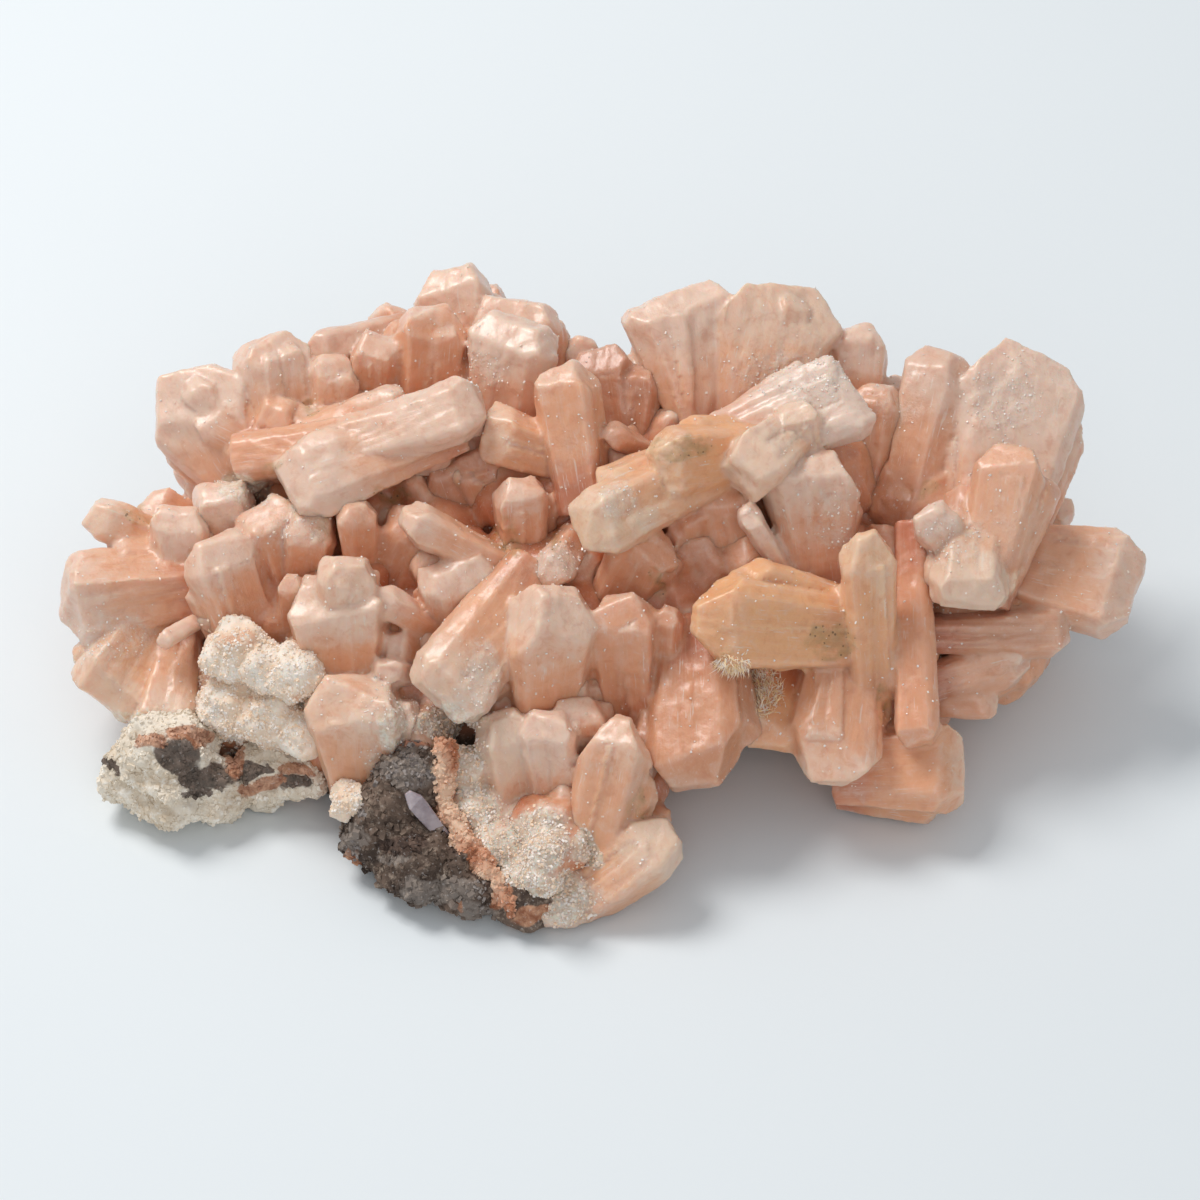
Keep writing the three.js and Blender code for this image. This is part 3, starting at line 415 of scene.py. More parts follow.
def crystal_faces(form, length, generator):
    """The flat faces of a crystal: their outward directions and a point of each,
    measured across the broad face, out from it and along the crystal."""
    half, deep = form["wide"] / 2, form["thick"] / 2
    end, taper = form["end"], form["taper"]
    slant = min(length * 0.42, form["wide"] * (1 - end) * 0.75 + 1)
    shoulders = {side: length - slant * generator.uniform(0.6, 1.2) for side in (-1, 1)}
    faces = [((0, 0, -1), (0, 0, -BURIED_LENGTH))]
    for side, shoulder in shoulders.items():
        narrowing = half * (1 - taper) / shoulder
        lean = generator.uniform(-0.3, 0.3)
        faces.append(((side, lean, -narrowing), (side * half, 0, shoulder)))
        slope = half * (1 - end) / (length - shoulder)
        faces.append(((side, generator.uniform(-0.3, 0.3), slope), (side * half, 0, shoulder)))
        for front in (-1, 1):
            inward = half * generator.uniform(0.12, 0.4)
            back = deep * generator.uniform(0.3, 0.8)
            direction = (side * back, front * inward, -narrowing * back)
            faces.append((direction, (side * (half - inward), front * deep, shoulder)))
    last = max(shoulders.values())
    for front in (-1, 1):
        tilt = generator.uniform(-0.1, 0.1)
        faces.append(((tilt, front, -0.15 * deep / last), (0, front * deep, last * 0.7)))
        start = length - slant * generator.uniform(0.35, 0.95)
        slope = 0.65 * deep / (length - start)
        faces.append(((generator.uniform(-0.2, 0.2), front, slope), (0, front * deep, start)))
    cap = (generator.uniform(-0.3, 0.3), generator.uniform(-0.15, 0.15), 1)
    faces.append((cap, (0, 0, length)))
    return faces


class Crystal:
    """A flat-faced crystal: its place, its faces and its looks."""

    def __init__(self, tip, root, form, seed):
        generator = random.Random(seed)
        axis, face, edge = standing(tip, root, form["roll"])
        self.root = root
        self.frame = np.array([edge, face, axis])
        self.length = np.linalg.norm(tip - root)
        self.middle = (tip + root) / 2
        self.reach = self.length / 2 + form["wide"]
        faces = crystal_faces(form, self.length, generator)
        directions = np.array([direction for direction, _ in faces], dtype=float)
        self.directions = directions / np.linalg.norm(directions, axis=1, keepdims=True)
        self.distances = np.sum(self.directions * np.array([point for _, point in faces]), axis=1)
        self.bend = form.get("bend", 0)
        self.offset = np.array([generator.uniform(0, 400) for _ in range(3)])
        self.pale = form.get("pale", 0.4)
        self.amber = form.get("amber", 0)
        self.tone = form.get("tone", 0) + generator.uniform(-0.12, 0.12)

    def mesh(self, name):
        """The crystal as a closed mesh with flat faces."""
        triples = np.array(list(itertools.combinations(range(len(self.distances)), 3)))
        matrices = self.directions[triples]
        crossing = np.abs(np.linalg.det(matrices)) > 0.001
        sums = self.distances[triples[crossing]][:, :, None]
        corners = np.linalg.solve(matrices[crossing], sums)[:, :, 0]
        kept = np.all(corners @ self.directions.T <= self.distances + 0.000001, axis=1)
        shape = bmesh.new()
        for corner in np.unique(np.round(corners[kept], 3), axis=0):
            shape.verts.new(corner)
        hull = bmesh.ops.convex_hull(shape, input=shape.verts)
        spare = set(hull["geom_interior"] + hull["geom_unused"])
        loose = [part for part in spare if isinstance(part, bmesh.types.BMVert)]
        bmesh.ops.delete(shape, geom=loose, context="VERTS")
        if self.bend:
            for step in range(1, BEND_STEPS):
                level = self.length * step / BEND_STEPS
                everything = [*shape.verts, *shape.edges, *shape.faces]
                bmesh.ops.bisect_plane(shape, geom=everything, plane_co=(0, 0, level), plane_no=(0, 0, 1))
        bmesh.ops.triangulate(shape, faces=shape.faces)
        mesh = bpy.data.meshes.new(name)
        shape.to_mesh(mesh)
        shape.free()
        own = points_of(mesh) * MM
        own[:, 0] += self.sway(own[:, 2])
        set_points(mesh, self.root + own @ self.frame)
        return mesh

    def sway(self, along):
        """How far a bent crystal's middle lies to the side."""
        share = np.clip(along / self.length, 0, 1)
        return self.bend * 4 * share * (1 - share)

    def own_places(self, points):
        """Points measured across, out from and along the crystal."""
        own = (points - self.root) @ self.frame.T
        own[:, 0] -= self.sway(own[:, 2])
        return own

    def above(self, own):
        """How far each point lies above the crystal's skin, and 1 on its edges."""
        gaps = own @ self.directions.T - self.distances
        gaps = np.partition(gaps, -2, axis=1)
        return gaps[:, -1], 1 - smooth_step(0.1, 0.9, gaps[:, -1] - gaps[:, -2])

    def looks(self, own, rim):
        """Frost at the tip, deep orange colour with painted shade towards the root, colour and edges of
        the points.
        """
        share = np.clip(own[:, 2] / self.length, 0, 1)
        frost = (0.35 + 0.65 * self.pale) * smooth_step(0.95 - self.pale, 1.15 - 0.45 * self.pale, share)
        # Deeper orange towards the root: partly the crystal's own colour, partly painted shade where the
        # crystals crowd together.
        rootward = (1 - smooth_step(0.0, 0.6, share)) * (1 - 0.55 * self.pale)
        same = np.ones(len(own))
        return np.stack([frost, rootward, same * self.amber, same * self.tone, rim], axis=1)


class RootMass:
    """An uneven rounded mass that crystals grow from."""

    def __init__(self, centre, size, seed, frost, rootward):
        generator = random.Random(seed)
        self.middle = centre
        self.size = np.array(size)
        self.reach = max(size) * 1.4
        self.seed = seed
        self.offset = np.array([generator.uniform(0, 400) for _ in range(3)])
        self.frost = frost
        self.rootward = rootward

    def mesh(self, name):
        """The mass as a closed mesh."""
        turn = np.linspace(0, 2 * math.pi, MASS_SIDES, endpoint=False)
        rings = []
        for step in range(1, MASS_RINGS):
            tilt = math.pi * step / MASS_RINGS
            point = np.stack([
                np.cos(turn) * math.sin(tilt), np.sin(turn) * math.sin(tilt),
                np.full(MASS_SIDES, -math.cos(tilt)),
            ], axis=1) * self.size
            swell = 1 + 0.16 * noise_at((point + self.offset) / 5, self.seed)
            swell += 0.07 * noise_at((point + self.offset) / 2, self.seed)
            rings.append(point * swell[:, None] + self.middle)
        height = np.array([0, 0, self.size[2]])
        return closed_mesh(name, rings, np.array([self.middle - height, self.middle + height]))

    def own_places(self, points):
        """Points measured from the middle of the mass."""
        return points - self.middle

    def above(self, own):
        """How far each point lies above the mass, which has no edges."""
        gap = (np.linalg.norm(own / self.size, axis=1) - 1) * self.size.mean()
        return gap, np.zeros(len(own))

    def looks(self, own, rim):
        """The same looks all over."""
        return np.tile([self.frost, self.rootward, 0, -0.05, 0], (len(own), 1))


def shown(name, mesh):
    """An object for a mesh, linked to the scene."""
    piece = bpy.data.objects.new(name, mesh)
    bpy.context.scene.collection.objects.link(piece)
    return piece


def plain_mesh(piece, name):
    """The evaluated form of a piece as a mesh of its own."""
    bpy.context.view_layer.update()
    ready = piece.evaluated_get(bpy.context.evaluated_depsgraph_get())
    mesh = bpy.data.meshes.new_from_object(ready)
    mesh.name = name
    return mesh


def grown_together(name, meshes):
    """Joins crystals that overlap into one closed solid."""
    group = bpy.data.collections.new(name + "_parts")
    bpy.context.scene.collection.children.link(group)
    base = shown(name, meshes[0])
    others = []
    for index, mesh in enumerate(meshes[1:]):
        other = bpy.data.objects.new(f"{name}_part_{index}", mesh)
        group.objects.link(other)
        others.append(other)
    joiner = base.modifiers.new("grown", "BOOLEAN")
    joiner.operation = "UNION"
    joiner.operand_type = "COLLECTION"
    joiner.collection = group
    joiner.solver = "MANIFOLD"
    mesh = plain_mesh(base, name)
    base.modifiers.clear()
    base.data = mesh
    for other in others:
        bpy.data.objects.remove(other)
    bpy.data.collections.remove(group)
    return base


def points_of(mesh):
    """The mesh's corners as rows, in millimetres."""
    points = np.empty(len(mesh.vertices) * 3, dtype=np.float32)
    mesh.vertices.foreach_get("co", points)
    return points.reshape(-1, 3).astype(float) / MM


def normals_of(mesh):
    """The outward direction at each corner."""
    normals = np.empty(len(mesh.vertices) * 3, dtype=np.float32)
    mesh.vertices.foreach_get("normal", normals)
    return normals.reshape(-1, 3).astype(float)


def set_points(mesh, points):
    """Moves the mesh's corners, given in millimetres."""
    mesh.vertices.foreach_set("co", (points * MM).astype(np.float32).ravel())
    mesh.update()


def softened(values, edges, rounds):
    """Each row drawn halfway to the mean of its neighbours, as many times as there are rounds."""
    count = len(values)
    degree = np.bincount(edges.ravel(), minlength=count)[:, None]
    for _ in range(rounds):
        total = np.stack([
            np.bincount(edges[:, 0], values[edges[:, 1], side], count)
            + np.bincount(edges[:, 1], values[edges[:, 0], side], count)
            for side in range(values.shape[1])
        ], axis=1)
        values = (values + total / degree) / 2
    return values


LOOKS = ("frost", "rootward", "amber", "tone", "rim")

# Whitish, sugary places and olive-brown dirty ones, by their middle and reach in the picture.
DUSTED_PLACES = [
    ((240, 487), (28, 16)), ((300, 525), (30, 18)), ((835, 522), (20, 26)), ((112, 636), (36, 20)),
    ((742, 512), (10, 8)), ((540, 845), (44, 46)), ((560, 900), (46, 26)), ((480, 680), (24, 40)),
    ((790, 375), (60, 22)), ((485, 372), (26, 26)), ((380, 730), (24, 50)), ((430, 712), (50, 18)),
    ((1000, 400), (40, 40)), ((620, 500), (20, 16)), ((950, 540), (30, 30)), ((560, 560), (30, 20)),
]
OLIVE_PLACES = [
    ((273, 466), (14, 6)), ((289, 506), (14, 7)), ((322, 530), (10, 18)), ((505, 540), (14, 20)),
    ((825, 640), (30, 20)), ((388, 495), (14, 8)), ((680, 448), (34, 12)), ((132, 516), (20, 10)),
    ((932, 490), (11, 14)), ((560, 540), (8, 16)), ((312, 405), (10, 12)), ((655, 585), (8, 20)),
    ((725, 655), (12, 16)), ((640, 808), (12, 14)), ((887, 700), (8, 26)), ((400, 490), (10, 8)),
]

# Thick whitish crust, behind the rind and round the roots at the front.
CRUSTED_PLACES = [
    ((462, 762), (22, 36)), ((478, 812), (24, 34)), ((504, 856), (26, 30)), ((545, 896), (50, 26)),
    ((535, 845), (34, 34)), ((452, 722), (34, 16)), ((585, 850), (16, 20)), ((240, 487), (24, 13)),
    ((130, 728), (34, 16)), ((395, 728), (18, 24)),
]


def owned_looks(points, members):
    """The looks and the own place of each point, after the crystal or mass whose skin is nearest."""
    nearest = np.full(len(points), np.inf)
    # Points far from every crystal and mass get much of the deep root colour, as painted shade.
    looks = np.tile([0.1, 0.8, 0, -0.1, 0], (len(points), 1)).astype(float)
    spots = points.copy()
    for member in members:
        close = np.flatnonzero(np.linalg.norm(points - member.middle, axis=1) < member.reach)
        own = member.own_places(points[close])
        gap, rim = member.above(own)
        better = np.abs(gap) < nearest[close]
        chosen = close[better]
        nearest[chosen] = np.abs(gap[better])
        looks[chosen] = member.looks(own[better], rim[better])
        spots[chosen] = own[better] + member.offset
    return looks, spots


def fused(name, members, voxel, seed):
    """Crystals and masses melted into one even skin, on which each keeps its looks."""
    piece = grown_together(name, [member.mesh(name) for member in members])
    divider = piece.modifiers.new("even", "REMESH")
    divider.mode = "VOXEL"
    divider.voxel_size = voxel * MM
    mesh = plain_mesh(piece, name)
    piece.modifiers.clear()
    piece.data = mesh
    edges = np.empty(len(mesh.edges) * 2, dtype=np.int32)
    mesh.edges.foreach_get("vertices", edges)
    edges = edges.reshape(-1, 2)
    looks, spots = owned_looks(points_of(mesh), members)
    looks = softened(looks, edges, 2)
    set_points(mesh, softened(points_of(mesh), edges, 1))
    points = points_of(mesh)
    dusted = stain_share(points, DUSTED_PLACES)
    olive = stain_share(points, OLIVE_PLACES)
    crusted = stain_share(points, CRUSTED_PLACES)
    relief = 0.14 * noise_at(points / 4.2, seed) + 0.1 * noise_at(points / 1.6, seed + 1)
    relief += 0.06 * noise_at(spots * np.array([0.8, 0.8, 0.06]), seed + 2)
    layer = TERRACES * (noise_at(spots * np.array([0.16, 0.16, 0.05]), seed + 6) + 1)
    steps = np.floor(layer) + smooth_step(0.75, 1.0, layer % 1)
    relief += TERRACE_HEIGHT * (steps / TERRACES - 1)
    relief += (0.04 + 0.2 * looks[:, 0] + 0.1 * dusted) * noise_at(points / 2.2, seed + 7)
    relief += (0.03 + 0.1 * dusted + 0.15 * olive) * noise_at(points / 0.8, seed + 3)
    relief += crusted * (0.5 * noise_at(points / 2.6, seed + 4) + 0.35 * noise_at(points / 1.1, seed + 5))
    points = points + normals_of(mesh) * relief[:, None]
    points[:, 2] = np.maximum(points[:, 2], LOWEST_CRYSTAL)
    set_points(mesh, points)
    for index, look in enumerate(LOOKS):
        keep_values(mesh, look, looks[:, index])
    keep_values(mesh, "dusted", dusted)
    keep_values(mesh, "olive", olive)
    keep_values(mesh, "crusted", crusted)
    keep_places(mesh, "spot", spots)
    mesh.shade_smooth()
    return piece


def ends_of(form):
    """The tip and root of a crystal as real points."""
    if len(form["tip"]) == 3:
        return np.array(form["tip"], dtype=float), np.array(form["root"], dtype=float)
    tip = seen(form["tip"], cover_height(*form["tip"]) + form["rise"])
    root = seen(form["root"], cover_height(*form["root"]) - form["sink"])
    return tip, root


# How often a side of a large crystal has no strip, and no narrower crystal.
STRIP_LACKING = 0.35
COMPANION_LACKING = 0.3

# Degrees by which a narrower crystal leans away from the large one.
COMPANION_LEAN = (3, 9)


def strips(form, tip, root, seed):
    """Raised strips along a large crystal, each a narrower crystal nearly in line with it."""
    generator = random.Random(seed * 5 + 2)
    axis, face, edge = standing(tip, root, form["roll"])
    length = np.linalg.norm(tip - root)
    found = []
    for side in (-1, 1):
        if generator.random() < STRIP_LACKING:
            continue
        shift = side * form["wide"] * generator.uniform(0.1, 0.27)
        point = tip + edge * shift * form["end"] - axis * length * generator.uniform(0.03, 0.16)
        strip = dict(form)
        strip["wide"] = form["wide"] * generator.uniform(0.3, 0.5)
        strip["thick"] = form["thick"] * generator.uniform(0.96, 1.03) + 0.25
        strip["roll"] = form["roll"] + generator.uniform(-7, 7)
        strip["tone"] = form.get("tone", 0) + generator.uniform(-0.1, 0.16)
        found.append((point, root + edge * shift * form["taper"], strip))
    return found


def companions(form, tip, root, seed):
    """Narrower crystals that lean out from under a large one, as in a sheaf."""
    generator = random.Random(seed * 7 + 1)
    axis, face, edge = standing(tip, root, form["roll"])
    length = np.linalg.norm(tip - root)
    found = []
    for side in (-1, 1):
        if generator.random() < COMPANION_LACKING:
            continue
        lean = math.radians(generator.uniform(*COMPANION_LEAN))
        toward = axis * math.cos(lean) + edge * side * math.sin(lean)
        start = root + edge * side * form["wide"] * 0.2 - face * form["thick"] * 0.35
        reach = length * generator.uniform(0.6, 0.85)
        small = dict(form)
        small["wide"] = form["wide"] * generator.uniform(0.45, 0.62)
        small["thick"] = form["thick"] * generator.uniform(0.55, 0.75)
        small["roll"] = form["roll"] + side * generator.uniform(5, 28)
        small["pale"] = form.get("pale", 0.4) * 0.6
        small["tone"] = form.get("tone", 0) - 0.1
        small["bend"] = 0
        found.append((start + toward * reach, start, small))
    return found


def small_form(generator, wide, thick, end, taper, roll, pale, tone):
    """The form and looks of a short crystal, drawn between the two ends of each range."""
    return dict(
        wide=generator.uniform(*wide), thick=generator.uniform(*thick), end=end, taper=taper,
        roll=generator.uniform(-roll, roll), pale=generator.uniform(*pale),
        tone=generator.uniform(*tone),
    )


# The turn between two short crystals of a mass, which spreads them evenly over a ball, in radians.
SPROUT_TURN = 2.4
SPROUT_LENGTH = (2.0, 6.0)
SPROUT_SPREAD = np.array([1.1, 1.1, 0.85])

# Short crystals start in the mass, and leave its underside and crown free.
SPROUT_START = 0.3
LOWEST_SPROUT, HIGHEST_SPROUT = -0.75, 0.8


def sprouts(centre, radius, seed):
    """Short crystals all over the rear half of a root mass."""
    generator = random.Random(seed)
    found = []
    for index in range(SPROUTS_ROUND_MASS):
        height = 1 - 2 * (index + 0.5) / SPROUTS_ROUND_MASS
        turn = index * SPROUT_TURN + generator.uniform(-0.2, 0.2)
        flat = math.sqrt(1 - height * height)
        toward = np.array([math.cos(turn) * flat, math.sin(turn) * flat, height])
        if toward[1] < 0.0 or not LOWEST_SPROUT <= toward[2] <= HIGHEST_SPROUT:
            continue
        reach = radius + generator.uniform(*SPROUT_LENGTH)
        tip = centre + toward * reach * SPROUT_SPREAD
        form = small_form(
            generator, wide=(6, 9.5), thick=(4.5, 7), end=0.5, taper=0.8, roll=60,
            pale=(0.25, 0.6), tone=(-0.15, 0.1),
        )
        found.append(Crystal(tip, centre + toward * radius * SPROUT_START, form, seed + index))
    return found


def sheaf(name, forms, masses, crusted):
    """All crystals of one sheaf with their root masses, grown together."""
    members = []
    for index, form in enumerate(forms):
        seed = 101 * len(name) + 13 * index + len(forms)
        form = dict(form, roll=form["roll"] or random.Random(seed).uniform(-20, 20))
        form["wide"] *= BROADENING
        form["thick"] *= THICKENING
        tip, root = ends_of(form)
        grown = [(tip, root, form)]
        if form["wide"] >= STRIP_WIDTH and not form.get("bend"):
            grown += strips(form, tip, root, seed)
        if form["wide"] >= COMPANION_WIDTH:
            grown += companions(form, tip, root, seed)
        members += [Crystal(*one, seed + 500 * number) for number, one in enumerate(grown)]
    for index, mass in enumerate(masses):
        radius = mass[-1]
        centre = np.array(mass[0], dtype=float)
        if len(mass) == 3:
            centre = seen(mass[0], cover_height(*mass[0]) - mass[1])
        size = (radius * PAD_SPREAD, radius * PAD_SPREAD, radius * PAD_FLATNESS)
        # Root masses carry some deep root colour, partly painted shade between the crystals.
        frost, rootward = (0.75, 0.1) if crusted else (0.2, 0.45)
        members.append(RootMass(centre, size, index + len(name), frost, rootward))
        if centre[1] > SPROUTS_FROM:
            members += sprouts(centre, radius, 40 * index + len(name))
    return fused(name, members, CRYSTAL_VOXEL, len(name))


def painted(name):
    """A new material and its nodes."""
    material = bpy.data.materials.new(name)
    material.use_nodes = True
    material.node_tree.nodes.clear()
    return material


def srgb(red, green, blue):
    """A colour given as it looks on a screen, from 0 to 255, turned into light values."""
    channels = [value / 255 for value in (red, green, blue)]
    light = [c / 12.92 if c <= 0.04045 else ((c + 0.055) / 1.055) ** 2.4 for c in channels]
    return (*light, 1)


class Recipe:
    """Short ways to lay out a material's nodes."""

    def __init__(self, material):
        self.tree = material.node_tree
        self.links = self.tree.links

    def node(self, kind, **settings):
        made = self.tree.nodes.new(kind)
        for key, value in settings.items():
            setattr(made, key, value)
        return made

    def feed(self, socket, value):
        if isinstance(value, bpy.types.NodeSocket):
            self.links.new(value, socket)
        else:
            socket.default_value = value

    def attribute(self, name, output="Fac"):
        return self.node("ShaderNodeAttribute", attribute_name=name).outputs[output]

    def maths(self, operation, one, other=0.0, clamp=False):
        made = self.node("ShaderNodeMath", operation=operation, use_clamp=clamp)
        self.feed(made.inputs[0], one)
        self.feed(made.inputs[1], other)
        return made.outputs[0]

    def mix(self, share, one, other, way="MIX"):
        made = self.node("ShaderNodeMix", data_type="RGBA", blend_type=way)
        self.feed(made.inputs["Factor"], share)
        self.feed(made.inputs[6], one)
        self.feed(made.inputs[7], other)
        return made.outputs[2]

    def stretched(self, place, scale):
        made = self.node("ShaderNodeMapping", vector_type="POINT")
        self.feed(made.inputs["Vector"], place)
        made.inputs["Scale"].default_value = scale
        return made.outputs["Vector"]

    def noise(self, place, scale, detail=3.0, roughness=0.55, distortion=0.0):
        made = self.node("ShaderNodeTexNoise")
        self.feed(made.inputs["Vector"], place)
        made.inputs["Scale"].default_value = scale
        made.inputs["Detail"].default_value = detail
        made.inputs["Roughness"].default_value = roughness
        made.inputs["Distortion"].default_value = distortion
        return made.outputs["Fac"]

    def band(self, value, low, high):
        """0 below low, 1 above high."""
        made = self.node("ShaderNodeMapRange", interpolation_type="SMOOTHSTEP")
        self.feed(made.inputs["Value"], value)
        made.inputs["From Min"].default_value = low
        made.inputs["From Max"].default_value = high
        return made.outputs["Result"]

    def dots(self, place, scale, radius):
        """1 in round dots that are scattered over the surface, 0 between them."""
        made = self.node("ShaderNodeTexVoronoi", feature="F1")
        self.feed(made.inputs["Vector"], place)
        made.inputs["Scale"].default_value = scale
        return self.band(self.maths("SUBTRACT", radius, made.outputs["Distance"]), 0.0, 0.08)

    def bump(self, height, strength, distance, under=None):
        made = self.node("ShaderNodeBump")
        self.feed(made.inputs["Height"], height)
        made.inputs["Strength"].default_value = strength
        made.inputs["Distance"].default_value = distance
        if under is not None:
            self.links.new(under, made.inputs["Normal"])
        return made.outputs["Normal"]

    def surface(self, colour, roughness, normal, glow, glow_depth, coat=0.0, specular=0.5):
        shader = self.node("ShaderNodeBsdfPrincipled")
        self.feed(shader.inputs["Base Color"], colour)
        self.feed(shader.inputs["Roughness"], roughness)
        self.links.new(normal, shader.inputs["Normal"])
        shader.inputs["Subsurface Weight"].default_value = glow
        shader.inputs["Subsurface Radius"].default_value = (1.0, 0.55, 0.38)
        shader.inputs["Subsurface Scale"].default_value = glow_depth
        shader.inputs["Coat Weight"].default_value = coat
        shader.inputs["Coat Roughness"].default_value = 0.22
        shader.inputs["Specular IOR Level"].default_value = specular
        out = self.node("ShaderNodeOutputMaterial")
        self.links.new(shader.outputs[0], out.inputs["Surface"])


SALMON = srgb(225, 160, 121)
PALE_PINK = srgb(233, 187, 154)
FROSTED = srgb(234, 202, 180)
# Deep orange of the roots, also used as painted shade in the crevices.
DEEP_ROOT_AND_CREVICE_SHADE = srgb(190, 104, 64)
AMBER = srgb(236, 173, 116)
AMBER_TIP = srgb(232, 200, 162)
# Cream white for dust, wisps and lighter crystals, and for painted streak highlights.
CREAM_DUST_AND_HIGHLIGHT = srgb(230, 219, 208)
# Pearly white for whitish veils, and for the painted sheen and edge highlights.
PEARLY_VEIL_AND_SHEEN = srgb(228, 205, 189)
OLIVE = srgb(168, 138, 82)
DIRT = srgb(104, 74, 44)


def stilbite(name, warmth):
    """Pearly, translucent pink crystal: deep orange at its root, darkened there as painted shade, and
    frosted at its tip, with painted highlights on its edges and along its streaks.
    """
    material = painted(name)
    recipe = Recipe(material)
    spot = recipe.attribute("spot", "Vector")
    place = recipe.node("ShaderNodeTexCoord").outputs["Object"]
    streaks = recipe.noise(recipe.stretched(spot, (0.9, 0.9, 0.05)), 1.0, 4, 0.6)
    fine_streaks = recipe.noise(recipe.stretched(spot, (3.2, 3.2, 0.12)), 1.0, 3, 0.6)
    clouds = recipe.noise(spot, 0.13, 3, 0.6)
    mottle = recipe.noise(place, 420, 4, 0.6)
    veils = recipe.noise(spot, 0.42, 4, 0.65, 0.6)
    wander = recipe.maths("MULTIPLY", recipe.maths("SUBTRACT", clouds, 0.5), 1.0)
    for pattern, share in ((veils, 0.5), (streaks, 0.16)):
        swing = recipe.maths("MULTIPLY", recipe.maths("SUBTRACT", pattern, 0.5), share)
        wander = recipe.maths("ADD", wander, swing)
    frost = recipe.maths("ADD", recipe.attribute("frost"), wander)
    rootward = recipe.maths("ADD", recipe.attribute("rootward"), wander)
    amber = recipe.attribute("amber")
    body = recipe.mix(warmth, PALE_PINK, SALMON)
    body = recipe.mix(amber, body, AMBER)
    tip = recipe.mix(amber, FROSTED, AMBER_TIP)
    colour = recipe.mix(recipe.band(frost, 0.1, 0.85), body, tip)
    # Deep orange towards the root: partly own colour, partly painted shade in the crevices between
    # crystals.
    colour = recipe.mix(recipe.band(rootward, 0.25, 1.15), colour, DEEP_ROOT_AND_CREVICE_SHADE)
    tone = recipe.attribute("tone")
    lighter = recipe.maths("MULTIPLY", recipe.maths("MAXIMUM", tone, 0.0), 0.42)
    darker = recipe.maths("MAXIMUM", recipe.maths("MULTIPLY", tone, -1.0), 0.0)
    darker = recipe.maths("MULTIPLY", darker, 0.75)
    colour = recipe.mix(lighter, colour, CREAM_DUST_AND_HIGHLIGHT)
    colour = recipe.mix(darker, colour, srgb(150, 92, 70))
    # Painted highlights: thin whitish lines along the fine striations.
    streak_highlights = recipe.band(fine_streaks, 0.5, 0.72)
    colour = recipe.mix(recipe.maths("MULTIPLY", streak_highlights, 0.12), colour, CREAM_DUST_AND_HIGHLIGHT)
    # Whitish veils in the crystal, drawn toward a pearly white that is partly painted sheen.
    colour = recipe.mix(recipe.maths("MULTIPLY", recipe.band(veils, 0.52, 0.72), 0.3), colour, PEARLY_VEIL_AND_SHEEN)
    colour = recipe.mix(recipe.maths("MULTIPLY", recipe.band(veils, 0.5, 0.3), 0.22), colour, DEEP_ROOT_AND_CREVICE_SHADE)
    wisps = recipe.noise(recipe.stretched(spot, (2.6, 2.6, 0.22)), 1.0, 2, 0.5)
    wisps = recipe.maths("MULTIPLY", recipe.band(wisps, 0.61, 0.68), recipe.band(clouds, 0.48, 0.6))
    colour = recipe.mix(recipe.maths("MULTIPLY", wisps, 0.5), colour, CREAM_DUST_AND_HIGHLIGHT)
    blotch = recipe.band(mottle, 0.3, 0.75)
    colour = recipe.mix(recipe.maths("MULTIPLY", blotch, 0.12), colour, srgb(196, 128, 100))
    # Painted highlight: a pearly light along the crystal edges.
    edge = recipe.maths("MULTIPLY", recipe.attribute("rim"), recipe.band(mottle, 0.2, 0.7))
    colour = recipe.mix(recipe.maths("MULTIPLY", edge, 0.28), colour, PEARLY_VEIL_AND_SHEEN)
    patches = recipe.maths("ADD", recipe.noise(place, 70, 3, 0.6), recipe.maths(
        "MULTIPLY", recipe.attribute("dusted"), 0.3))
    sugar = recipe.noise(place, 850, 3, 0.7)
    dust = recipe.maths("MULTIPLY", recipe.band(sugar, 0.25, 0.8), recipe.band(patches, 0.55, 0.85))
    colour = recipe.mix(recipe.maths("MULTIPLY", dust, 0.55), colour, CREAM_DUST_AND_HIGHLIGHT)
    soil = recipe.maths("ADD", recipe.noise(place, 45, 2, 0.5), recipe.maths(
        "MULTIPLY", recipe.attribute("olive"), 0.5))
    tint = recipe.maths("MULTIPLY", recipe.band(mottle, 0.3, 0.7), recipe.band(soil, 0.62, 1.0))
    colour = recipe.mix(recipe.maths("MULTIPLY", tint, 0.55), colour, OLIVE)
    dirt = recipe.maths("MULTIPLY", recipe.dots(place, 1100, 0.26), recipe.band(soil, 0.6, 0.95))
    dirt = recipe.maths("MULTIPLY", dirt, recipe.band(mottle, 0.5, 0.56))
    colour = recipe.mix(recipe.maths("MULTIPLY", dirt, 0.75), colour, DIRT)
    crusted = recipe.band(recipe.maths("ADD", recipe.attribute("crusted"), wander), 0.3, 0.75)
    crumbly = recipe.mix(recipe.band(sugar, 0.35, 0.65), srgb(212, 186, 162), srgb(234, 227, 213))
    colour = recipe.mix(recipe.maths("MULTIPLY", crusted, 0.8), colour, crumbly)
    roughness = recipe.maths("ADD", 0.27, recipe.maths("MULTIPLY", streaks, 0.2))
    roughness = recipe.maths("ADD", roughness, recipe.maths("MULTIPLY", crusted, 0.3))
    roughness = recipe.maths("ADD", roughness, recipe.maths("MULTIPLY", dust, 0.2))
    normal = recipe.bump(fine_streaks, 0.1, 0.0003)
    normal = recipe.bump(streaks, 0.16, 0.0006, normal)
    normal = recipe.bump(recipe.noise(place, 420, 4, 0.65), 0.35, 0.0005, normal)
    sugared = recipe.maths("MULTIPLY", sugar, recipe.band(patches, 0.5, 0.75))
    normal = recipe.bump(sugared, 0.6, 0.0005, normal)
    recipe.surface(colour, roughness, normal, 0.65, 0.0026, coat=0.35)
    return material


